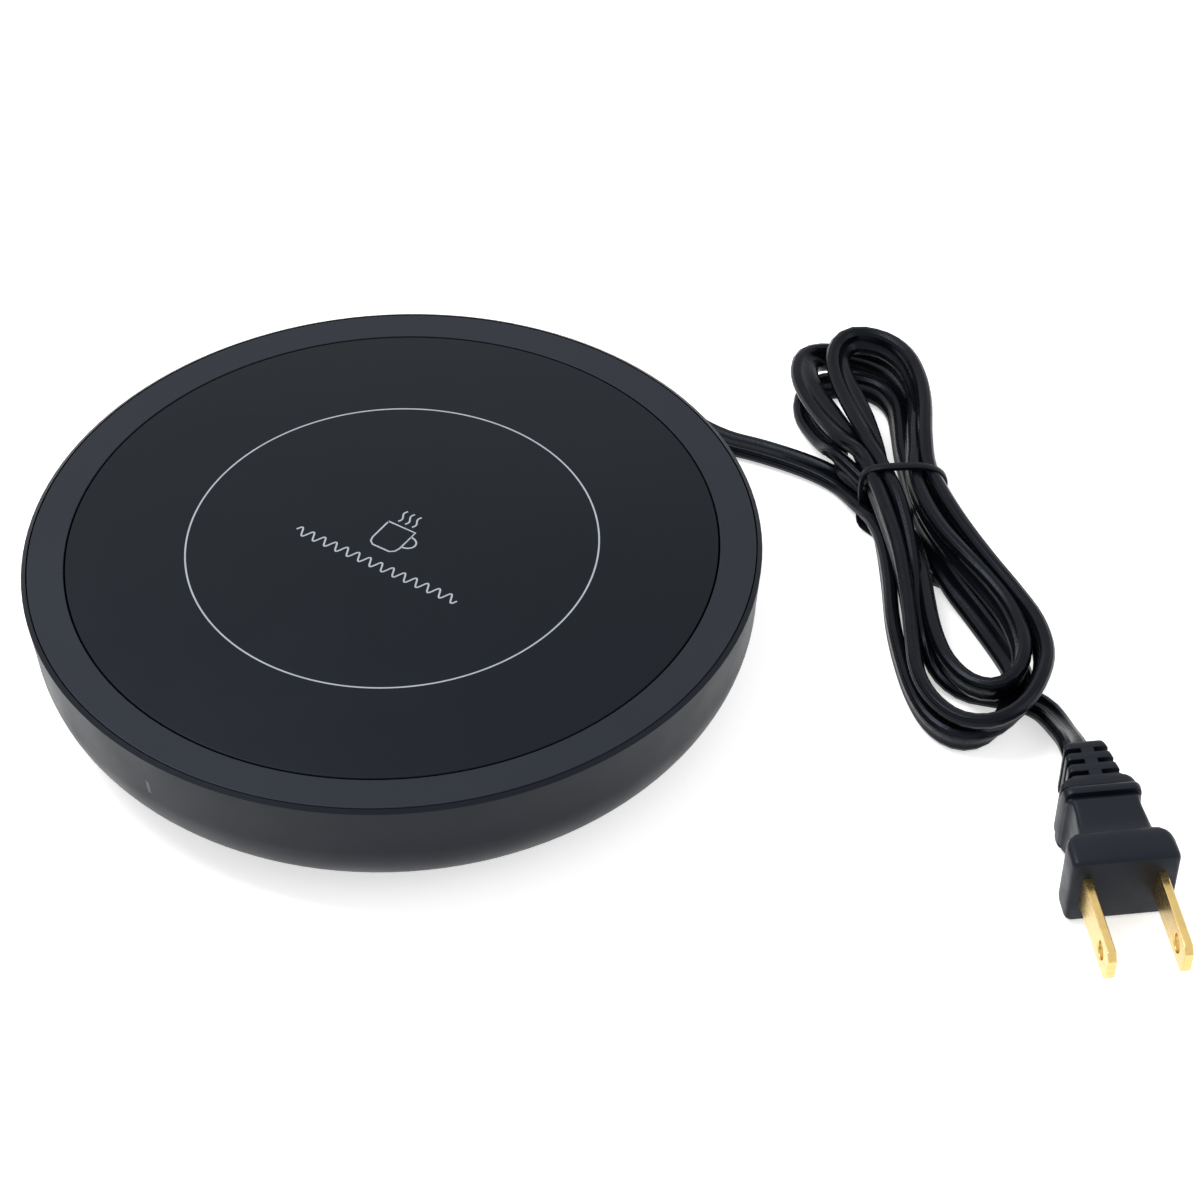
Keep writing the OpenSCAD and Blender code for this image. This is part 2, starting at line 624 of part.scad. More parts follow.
module plate_wires() color("#d8d8d8") {
    from_x = SWITCH_AT[0] + TERMINAL_X[2];
    wire([
        [from_x, terminal_end_y, run_z], [from_x * 0.96, terminal_end_y * 1.3, run_z],
        [from_x * 0.77, terminal_end_y * 1.27, run_z], [-stud_x * 1.1, terminal_end_y * 0.7, run_z + 0.4],
        [-stud_x, -thin_wire_d / 2, (run_z + tray_z) / 2], [-stud_x, 0, tray_z],
        [-stud_x, 0, carrier_z - 1], [-stud_x, 0, link_z - 1], [-stud_x * 0.95, 0, link_z - 0.2],
        [-sensor_end_x, 0, link_z]
    ], thin_wire_d);
    wire([
        [stud_x, 0, stud_end_z], [stud_x, 0, carrier_z], [stud_x, 0, tray_z],
        [stud_x, thin_wire_d / 2, (run_z + tray_z) / 2], [stud_x * 1.03, SLEEVE_Y[0] * 0.15, run_z + 0.5],
        [stud_x, SLEEVE_Y[0] * 0.4, run_z], [stud_x * 0.74, SLEEVE_Y[0] * 0.7, run_z + 0.3],
        [sleeve_x + 2 * pair_x, SLEEVE_Y[0] - wire_in, crimp_z], [sleeve_x + pair_x, SLEEVE_Y[0], crimp_z],
        [sleeve_x + pair_x, SLEEVE_Y[0] + wire_in, crimp_z]
    ], thin_wire_d);
}

// ---- Weight switch ----

module switch_body() color("#1d1e21") at_switch() difference() {
    union() {
        translate([0, -switch_w / 2, 0]) cube([switch_l, switch_w, switch_h]);
        for (y = [-switch_w / 2, switch_w / 2 - ear_t]) translate([0, y, switch_h - CUT])
            cube([ear_l, ear_t, pivot_z + ear_top - switch_h + CUT]);
    }
    translate([pivot_x, -switch_w / 2 - CUT, pivot_z]) rotate([-90, 0, 0])
        cylinder(d = pin_d, h = switch_w + 2 * CUT);
    translate([pivot_x + plunger_arm, 0, switch_h - plunger_in - plunger_room])
        cylinder(d = plunger_d + 2 * plunger_gap, h = plunger_in + plunger_room + CUT);
    for (x = SWITCH_SCREW_X) translate([x, -switch_w / 2 - CUT, switch_screw_z]) rotate([-90, 0, 0])
        cylinder(d = switch_screw_d + 2 * thread_gap, h = switch_w + 2 * CUT);
}
module switch_lever() color("#c3c7cc") at_switch() translate([pivot_x, 0, pivot_z]) difference() {
    union() {
        rotate([90, 0, 0]) cylinder(d = eye_d, h = lever_w, center = true);
        rotate([0, -lever_rest_a, 0]) translate([0, -lever_w / 2, -lever_t / 2])
            cube([lever_arm + lever_over, lever_w, lever_t]);
    }
    rotate([90, 0, 0]) cylinder(d = pin_d + 2 * pin_gap, h = switch_w, center = true);
}
module lever_pin() color("silver") at_switch() translate([pivot_x, -switch_w / 2, pivot_z])
    rotate([-90, 0, 0]) cylinder(d = pin_d, h = switch_w);
module switch_plunger() color("#c23b2e") at_switch()
    translate([pivot_x + plunger_arm, 0, switch_h - plunger_in])
    cylinder(d = plunger_d, h = plunger_top - switch_h + plunger_in);
module switch_terminals() color("#c9a24a") at_switch() for (x = TERMINAL_X)
    translate([x - terminal_w / 2, -switch_w / 2 - terminal_l, terminal_z])
        cube([terminal_w, terminal_l, terminal_t]);
module switch_screws() color("silver") at_switch() for (x = SWITCH_SCREW_X)
    translate([x, -switch_w / 2, switch_screw_z]) rotate([-90, 0, 0])
        screw(switch_screw_d, switch_w + bracket_t - pilot_rest, switch_head_d, switch_head_h);
module live_wire() color("#30302f") {
    to_x = SWITCH_AT[0] + TERMINAL_X[0];
    round_x = SWITCH_AT[0] - wire_clear;
    wire([
        [-sleeve_x - pair_x, SLEEVE_Y[0] + wire_in, crimp_z], [-sleeve_x - pair_x, SLEEVE_Y[0], crimp_z],
        [-sleeve_x - 2 * pair_x, SLEEVE_Y[0] - wire_in, crimp_z],
        [-2 * sleeve_x, SLEEVE_Y[0] - 2 * wire_in, run_z], [round_x / 2, SLEEVE_Y[0] - 2 * wire_in, run_z],
        [round_x * 0.8, SLEEVE_Y[0] * 0.6, run_z], [round_x * 0.97, SLEEVE_Y[0] * 0.3, run_z],
        [round_x, 0, run_z], [round_x * 0.96, terminal_end_y, run_z],
        [(round_x + to_x) / 2, terminal_end_y * 1.45, run_z], [to_x, terminal_end_y * 1.4, run_z],
        [to_x, terminal_end_y, run_z]
    ]);
}

// ---- Lamp ----

module at_lamp() rotate([0, 0, LAMP_ANGLE]) children();
module lamp_board() color("#2f6b3f") at_lamp() translate([board_r, -board_w / 2, board_z])
    cube([board_l, board_w, board_t]);
module lamp_led() color("#e8e6df") at_lamp() {
    translate([led_r, 0, led_z]) rotate([0, 90, 0]) cylinder(d = led_d, h = led_l);
    for (y = [-0.9, 0.9]) translate([led_r - 1.4, y, board_z + board_t]) {
        cylinder(d = lead_wire_d, h = led_z - board_z - board_t, $fn = 24);
        translate([0, 0, led_z - board_z - board_t]) rotate([0, 90, 0])
            cylinder(d = lead_wire_d, h = 1.4, $fn = 24);
    }
}
module lamp_resistor() color("#c8a877") at_lamp()
    translate([board_r + 2.4, resistor_l / 2, board_z + board_t + resistor_d / 2]) rotate([90, 0, 0])
        cylinder(d = resistor_d, h = resistor_l);
lens_in_r = led_r + led_l + lens_led_gap;
lens_top_z = lamp_z + lamp_h / 2 + lens_flange_over;
LENS_SIDE = [
    [lens_flange_r, lamp_z - lamp_h / 2 - lens_flange_over], [lens_flange_r, lens_top_z],
    [lens_flange_r - lens_flange_t, lens_top_z], [lens_flange_r - 2.2, tray_z - 0.2],
    [lens_in_r, tray_z - 0.2], [lens_in_r, led_z - 1.2], [lens_in_r + 1.4, led_z - 1.2],
    [lens_flange_r - 2.4, led_z + 0.9]
];
module lamp_lens() color("#cfd3d6") {
    intersection() {
        lamp_slot(lamp_w, lamp_h, housing_r - lens_flange_r + lens_flange_t / 2);
        shell_solid();
    }
    at_lamp() rotate([90, 0, 0]) translate([0, 0, -lens_flange_w / 2]) linear_extrude(lens_flange_w)
        polygon(LENS_SIDE);
}
board_end_y = -board_r + solder_gap;
board_wire_z = board_z + board_t / 2;
module lamp_wires() color("#8a2f2a") {
    wire([
        [sleeve_x - pair_x, SLEEVE_Y[0] + wire_in, crimp_z], [sleeve_x - pair_x, SLEEVE_Y[0], crimp_z],
        [sleeve_x - pair_x, SLEEVE_Y[0] - wire_in, crimp_z], [sleeve_x * 0.7, SLEEVE_Y[0] * 0.45, run_z],
        [sleeve_x, 0, run_z], [sleeve_x * 1.2, board_end_y * 0.33, run_z],
        [sleeve_x * 0.8, board_end_y * 0.65, run_z], [lamp_wire_x * 1.2, board_end_y * 0.88, run_z + 0.5],
        [lamp_wire_x, board_end_y, board_wire_z]
    ], thin_wire_d);
    wire([
        [-sleeve_x + mixed_x, SLEEVE_Y[0] + wire_in, crimp_z], [-sleeve_x + mixed_x, SLEEVE_Y[0], crimp_z],
        [-sleeve_x + mixed_x, SLEEVE_Y[0] - wire_in, crimp_z], [-sleeve_x * 0.5, SLEEVE_Y[0] * 0.45, run_z],
        [-sleeve_x * 0.2, 0, run_z], [sleeve_x * 0.2, board_end_y * 0.33, run_z],
        [-sleeve_x * 0.2, board_end_y * 0.65, run_z], [-lamp_wire_x, board_end_y * 0.88, run_z + 0.5],
        [-lamp_wire_x, board_end_y, board_wire_z]
    ], thin_wire_d);
}

// ---- Lead inside the housing ----

module crimp_sleeves() color("#d9b23c") for (s = [-1, 1])
    translate([s * sleeve_x, SLEEVE_Y[0], crimp_z]) rotate([-90, 0, 0]) difference() {
        cylinder(d = crimp_d, h = SLEEVE_Y[1] - SLEEVE_Y[0]);
        translate([0, 0, -CUT]) cylinder(d = crimp_bore_d, h = SLEEVE_Y[1] - SLEEVE_Y[0] + 2 * CUT);
    }
module twin(l) {
    for (s = [-1, 1]) translate([s * (cord_w - cord_t) / 2, 0, 0]) rotate([-90, 0, 0])
        cylinder(d = cord_t, h = l);
    translate([-(cord_w - cord_t) / 2, 0, -cord_t / 3]) cube([cord_w - cord_t, l, cord_t * 2 / 3]);
}
module cord_inner() color("#1c1d20") {
    translate([0, split_y, outlet_z]) twin(collar_out_y - split_y);
    for (s = [-1, 1]) wire([
        [s * (cord_w - cord_t) / 2, split_y + 0.5, outlet_z],
        [s * (cord_w / 4 + 0.4), split_y - 1, outlet_z - 0.2],
        [s * sleeve_x * 0.84, (2 * split_y + SLEEVE_Y[1]) / 3 - 1.73, crimp_z + 0.6],
        [s * sleeve_x, SLEEVE_Y[1] - cord_t / 5, crimp_z],
        [s * sleeve_x, SLEEVE_Y[1] - cord_t * 1.25, crimp_z]
    ], cord_t);
}
module clamp_hole(z, h, gap) for (s = [-1, 1]) translate([s * clamp_screw_x, clamp_y, z])
    cylinder(d = clamp_screw_d + 2 * gap, h = h);
module cord_clamp() color("#3a3c40") difference() {
    translate([-clamp_l / 2, clamp_y - clamp_w / 2, outlet_z + cord_t / 2]) cube([clamp_l, clamp_w, clamp_t]);
    clamp_hole(outlet_z, clamp_t + cord_t, pass_gap);
}
module clamp_screws() color("silver") for (s = [-1, 1])
    translate([s * clamp_screw_x, clamp_y, outlet_z + cord_t / 2 + clamp_t]) rotate([180, 0, 0])
        screw(clamp_screw_d, outlet_z + cord_t / 2 + clamp_t - floor_z - 2 * pilot_rest, clamp_head_d,
            clamp_head_h);
module cord_bushing() color("#1a1b1e") difference() {
    union() {
        translate([0, collar_in_y - barb_l, outlet_z]) oblong(barb_w, barb_h, barb_l);
        translate([0, collar_in_y - barb_l / 2, outlet_z])
            oblong(neck_w, neck_h, collar_out_y - collar_in_y + barb_l);
        translate([0, collar_out_y, outlet_z]) oblong(collar_flange_w, collar_flange_h, collar_flange_t);
        hull() {
            translate([0, collar_out_y + collar_flange_t, outlet_z]) oblong(neck_w, neck_h, 0.1);
            translate([0, exit_y - 0.1, outlet_z]) oblong(nose_w, nose_h, 0.1);
        }
    }
    translate([0, collar_in_y - barb_l - CUT, outlet_z])
        oblong(cord_w + 2 * cord_gap, cord_t + 2 * cord_gap, exit_y - collar_in_y + barb_l + 2 * CUT);
}

// ---- Free lead ----

module cord_lead() color("#18191c") flat_lead(LEAD_ROUTE);
module cord_tail() color("#18191c") flat_lead(TAIL_ROUTE);
module round_at(at, r) translate(at) circle(r = r, $fn = LOBE_FACETS);
module cord_hank() color("#1a1b1e") at_tie() difference() {
    linear_extrude(hank_h) {
        hull() {
            round_at([0, 0], waist_w / 2);
            round_at(UPPER_LOBE, upper_lobe_r);
        }
        hull() {
            round_at([0, 0], waist_w / 2);
            round_at(LOWER_LOBE, lower_lobe_r);
            round_at(LOWER_END, lower_end_r);
        }
    }
    translate([-waist_l / 2, -waist_w, -CUT]) cube([waist_l, 2 * waist_w, waist_under + CUT]);
    translate([-waist_l / 2, -waist_w, hank_h - waist_over]) cube([waist_l, 2 * waist_w, waist_over + CUT]);
}
module cord_tie() color("#101113") at_tie() translate([-tie_w / 2, 0, waist_under]) difference() {
    translate([0, -waist_w / 2 - tie_t, -tie_t])
        cube([tie_w, waist_w + 2 * tie_t, hank_h - waist_under - waist_over + 2 * tie_t]);
    translate([-CUT, -waist_w / 2, 0]) cube([tie_w + 2 * CUT, waist_w, hank_h - waist_under - waist_over]);
}

// ---- Plug ----

// One side of the plug's outline, from its full sizes at the tip, relief, rim, grip and flange
function plug_side(sizes, r) = let (h = sizes / 2, rim_x = plug_relief_l + rim_l) concat([
    [0, h[0]], [plug_relief_l, h[1]], [plug_relief_l, h[2] - rim_step / 2],
    [plug_relief_l + rim_step, h[2]], [rim_x - rim_step, h[2]], [rim_x, h[3]], [grip_l, h[4]]
], arc(grip_l + rim_step / 2 + r, h[5] - r, r, 180, 90, 4), [
    [plug_l - rim_step, h[5]], [plug_l, h[5] - rim_step]
]);
module plug_outline(outline)
    polygon(concat(outline, [for (i = [len(outline) - 1:-1:0]) [outline[i][0], -outline[i][1]]]));
module plug_body() color("#16171a") at_plug() difference() {
    intersection() {
        translate([0, 0, -plug_h / 2]) linear_extrude(plug_h) plug_outline(plug_side(
            [relief_tip_w, relief_end_w, rim_w, grip_near_w, grip_far_w, plug_w], flange_round
        ));
        rotate([90, 0, 0]) translate([0, 0, -plug_w / 2]) linear_extrude(plug_w) plug_outline(plug_side(
            [relief_tip_h, relief_end_h, plug_h, grip_h, grip_h, plug_h], (plug_h - grip_h) / 2
        ));
    }
    for (x = SLOT_X, sy = [-1, 1], sz = [-1, 1])
        translate([x + slot_w / 2, sy * (spine_w + plug_w) / 2, sz * (slot_z + plug_h / 2)])
        cube([slot_w, plug_w, plug_h], center = true);
    for (s = [-1, 1]) translate([plug_l - blade_root, s * blade_pitch / 2 - blade_t / 2, -blade_w / 2])
        cube([blade_root + CUT, blade_t, blade_w]);
}
module plug_blades() color("#c9b46a") at_plug() for (s = [-1, 1])
    translate([plug_l - blade_root, s * blade_pitch / 2, 0]) rotate([90, 0, 0])
        translate([0, 0, -blade_t / 2]) {
        tip = blade_root + blade_l;
        difference() {
            linear_extrude(blade_t) polygon([
                [0, -blade_w / 2], [tip - 1, -blade_w / 2], [tip, -blade_w / 2 + 1.4],
                [tip, blade_w / 2 - 1.4], [tip - 1, blade_w / 2], [0, blade_w / 2]
            ]);
            translate([blade_root + blade_hole_x, 0, -CUT]) cylinder(d = blade_hole_d, h = blade_t + 2 * CUT);
        }
    }

// ---- Output ----

base_shell();
bezel_frame();
glass_plate();
glass_seal();
heat_spreader();
heater_element();
insulation_pad();
plate_carrier();
guide_screws();
return_springs();
thermostat();
thermal_fuse();
fuse_sleeve();
sensor_strap();
strap_screws();
element_links();
plate_wires();
switch_body();
switch_lever();
lever_pin();
switch_plunger();
switch_terminals();
switch_screws();
live_wire();
lamp_wires();
lamp_board();
lamp_led();
lamp_resistor();
lamp_lens();
crimp_sleeves();
cord_inner();
cord_clamp();
clamp_screws();
cord_bushing();
housing_screws();
rubber_feet();
cord_lead();
cord_hank();
cord_tail();
cord_tie();
plug_body();
plug_blades();
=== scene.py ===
"""Looks of an electric mug warmer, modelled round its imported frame."""

import json
import math

import bmesh
import bpy
from bpy.props import FloatProperty, FloatVectorProperty, IntProperty, PointerProperty
from mathutils import Matrix, Vector


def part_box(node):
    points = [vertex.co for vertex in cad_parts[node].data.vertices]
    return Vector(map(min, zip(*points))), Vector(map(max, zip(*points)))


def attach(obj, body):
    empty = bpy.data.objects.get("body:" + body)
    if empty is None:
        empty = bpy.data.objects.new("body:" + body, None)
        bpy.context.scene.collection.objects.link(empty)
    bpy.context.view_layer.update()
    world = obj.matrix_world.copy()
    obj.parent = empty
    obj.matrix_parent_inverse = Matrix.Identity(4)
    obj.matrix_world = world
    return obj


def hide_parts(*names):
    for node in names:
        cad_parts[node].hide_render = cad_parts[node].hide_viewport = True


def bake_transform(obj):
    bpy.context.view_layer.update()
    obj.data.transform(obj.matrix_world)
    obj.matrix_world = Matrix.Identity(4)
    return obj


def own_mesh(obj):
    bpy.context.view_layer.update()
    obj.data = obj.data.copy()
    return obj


bl_info = {
    "name": "Mug warmer",
    "version": (1, 0, 0),
    "blender": (4, 5, 0),
    "location": "View3D > Sidebar > Warmer",
    "description": "Models the parts of an electric mug warmer round its packed frame",
    "category": "Object",
}

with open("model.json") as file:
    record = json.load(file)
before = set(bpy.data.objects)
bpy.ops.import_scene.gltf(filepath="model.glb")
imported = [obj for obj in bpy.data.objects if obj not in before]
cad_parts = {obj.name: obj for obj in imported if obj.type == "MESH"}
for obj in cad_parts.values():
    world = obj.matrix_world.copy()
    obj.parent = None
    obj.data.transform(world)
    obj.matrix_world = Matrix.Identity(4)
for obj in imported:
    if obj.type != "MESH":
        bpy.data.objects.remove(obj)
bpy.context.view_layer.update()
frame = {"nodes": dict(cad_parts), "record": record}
MM = 0.001
WELD = 0.001 * MM

TOP_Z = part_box("glass_plate")[1].z / MM
PLATE_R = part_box("glass_plate")[1].x / MM
GLASS_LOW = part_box("glass_plate")[0].z / MM


# ---- Sizes and colours that a user would change ----


def length(name, description, default, low, high):
    """A length in millimetres."""
    return FloatProperty(name=name, description=description, default=default, min=low, max=high)


def colour(name, description, default):
    """A colour."""
    return FloatVectorProperty(
        name=name, description=description, default=default, subtype="COLOR", size=3, min=0.0, max=1.0
    )


class WarmerSizes(bpy.types.PropertyGroup):
    """Sizes of the modelled pieces, in millimetres."""

    edge_round: length("Edge rounding", "Radius on the moulded edges of the housing", 0.18, 0.02, 0.6)
    glass_round: length("Glass edge", "Radius on the edge of the glass plate", 0.2, 0.05, 1.0)
    glass_spread: length("Glass spread", "How far the polished edge reaches into the groove", 0.15, 0.0, 0.3)
    turn_steps: IntProperty(
        name="Turn steps", description="Segments of a turned piece", default=256, min=48, max=512
    )
    ring_radius: length("Ring radius", "Radius of the printed ring on the plate", 36.35, 10.0, PLATE_R - 2)
    ring_width: length("Ring width", "Line width of the printed ring", 0.3, 0.1, 2.0)
    print_height: length("Print height", "Thickness of the printed marks", 0.02, 0.005, 0.2)
    cord_width: length("Cord width", "Width of the flat twin cord", 5.6, 3.0, 8.0)
    cord_thickness: length("Cord thickness", "Thickness of the flat twin cord", 2.8, 1.5, 4.0)
    tie_width: length("Tie width", "Width of the strip of the twist tie", 1.5, 0.5, 4.0)


class WarmerColours(bpy.types.PropertyGroup):
    """Base colours of the finishes."""

    shell: colour("Shell", "Moulded shell", (0.0052, 0.0060, 0.0086))
    bezel: colour("Ring", "Flat ring round the plate", (0.0085, 0.0098, 0.0140))
    plate: colour("Plate", "Glass warming plate", (0.0048, 0.0062, 0.0086))
    ink: colour("Print", "Printed marks", (0.33, 0.36, 0.39))
    cord: colour("Cord", "Sheath of the cord", (0.0026, 0.0029, 0.0044))
    plug: colour("Plug", "Moulded plug and strain relief", (0.0050, 0.0058, 0.0088))
    lamp: colour("Lamp", "Unlit indicator lens", (0.070, 0.075, 0.082))


class WarmerStage(bpy.types.PropertyGroup):
    """Floor, lights and camera."""

    floor_tone: colour("Floor", "Colour of the floor", (0.90, 0.90, 0.90))
    key_power: FloatProperty(
        name="Key light", description="Power of the lamp above", default=7.0, unit="POWER"
    )
    fill_power: FloatProperty(
        name="Fill light", description="Power of the lamp on the side of the cord", default=2.0, unit="POWER"
    )
    ambient: FloatProperty(name="Ambient", description="Strength of the soft light all round", default=0.75)
    lens: FloatProperty(name="Lens", description="Focal length of the camera", default=100.44, unit="CAMERA")


# ---- Materials ----


def shade(tree, kind, **sockets):
    """A new node, with values for its sockets."""
    node = tree.nodes.new(kind)
    for name, value in sockets.items():
        node.inputs[name.replace("_", " ")].default_value = value
    return node


def coordinates(tree, scale=(1, 1, 1)):
    """Object coordinates through a Mapping node."""
    where = tree.nodes.new("ShaderNodeTexCoord")
    mapping = tree.nodes.new("ShaderNodeMapping")
    mapping.inputs["Scale"].default_value = scale
    tree.links.new(where.outputs["Object"], mapping.inputs["Vector"])
    return mapping.outputs["Vector"]


def noise(tree, vector, scale, detail):
    """Cloudy variation over the surface."""
    node = shade(tree, "ShaderNodeTexNoise", Scale=scale, Detail=detail, Roughness=0.55)
    tree.links.new(vector, node.inputs["Vector"])
    return node.outputs["Fac"]


def spread(tree, value, low, high, start=0.3, end=0.7):
    """A value that runs from low to high while the input goes from start to end."""
    node = shade(tree, "ShaderNodeMapRange")
    for name, number in (("From Min", start), ("From Max", end), ("To Min", low), ("To Max", high)):
        node.inputs[name].default_value = number
    tree.links.new(value, node.inputs["Value"])
    return node.outputs["Result"]


def mixed(tree, factor, first, second):
    """A colour between two; each is a colour or the output of a node."""
    node = tree.nodes.new("ShaderNodeMix")
    node.data_type = "RGBA"
    for socket, tone in (("A", first), ("B", second)):
        if isinstance(tone, bpy.types.NodeSocket):
            tree.links.new(tone, node.inputs[socket])
        else:
            node.inputs[socket].default_value = (*tone, 1)
    tree.links.new(factor, node.inputs["Factor"])
    return node.outputs["Result"]


def bumped(tree, height, strength, distance, normal=None):
    """The normal of a relief, laid over another normal if there is one."""
    node = shade(tree, "ShaderNodeBump", Strength=strength, Distance=distance)
    tree.links.new(height, node.inputs["Height"])
    if normal:
        tree.links.new(normal, node.inputs["Normal"])
    return node.outputs["Normal"]


def finish(
    name,
    base,
    rough,
    drift,
    drift_scale,
    grain,
    grain_depth,
    stretch=(1, 1, 1),
    metal=0.0,
    gloss=0.5,
    coat=0.0,
    soft_bump=0.0,
    tint=(1, 1, 1),
):
    """A material whose tone, roughness and relief vary as the real finish does."""
    material = bpy.data.materials.new(name)
    material.use_nodes = True
    tree = material.node_tree
    shader = tree.nodes["Principled BSDF"]
    shader.inputs["Metallic"].default_value = metal
    shader.inputs["Specular IOR Level"].default_value = gloss
    shader.inputs["Specular Tint"].default_value = (*tint, 1)
    shader.inputs["Coat Weight"].default_value = coat
    shader.inputs["Coat Roughness"].default_value = 0.15
    vector = coordinates(tree, stretch)
    slow = noise(tree, vector, drift_scale, 4)
    quick = noise(tree, vector, drift_scale * 3.1, 3)
    lighter = [min(1, c * (1 + 2 * drift)) for c in base]
    darker = [c * (1 - drift) for c in base]
    tree.links.new(mixed(tree, spread(tree, slow, 0, 1), darker, lighter), shader.inputs["Base Color"])
    tree.links.new(spread(tree, quick, *rough), shader.inputs["Roughness"])
    normal = bumped(tree, slow, 0.5, soft_bump) if soft_bump else None
    normal = bumped(tree, noise(tree, vector, grain, 2), 0.6, grain_depth, normal)
    tree.links.new(normal, shader.inputs["Normal"])
    return material


# Width of the clear strip of the lens
LENS_CLEAR = 0.68


def dark_sides(material, side):
    """Leaves the lens clear in a strip down its middle; its sides take the tone of the shell."""
    tree = material.node_tree
    base = tree.nodes["Principled BSDF"].inputs["Base Color"]
    parts = tree.nodes.new("ShaderNodeSeparateXYZ")
    tree.links.new(coordinates(tree), parts.inputs[0])
    away = tree.nodes.new("ShaderNodeMath")
    away.operation = "ABSOLUTE"
    tree.links.new(parts.outputs["X"], away.inputs[0])
    beside = spread(tree, away.outputs[0], 0, 1, LENS_CLEAR * 0.4 * MM, LENS_CLEAR * 0.6 * MM)
    tree.links.new(mixed(tree, beside, base.links[0].from_socket, side), base)


COOL = (0.72, 0.82, 1.0)
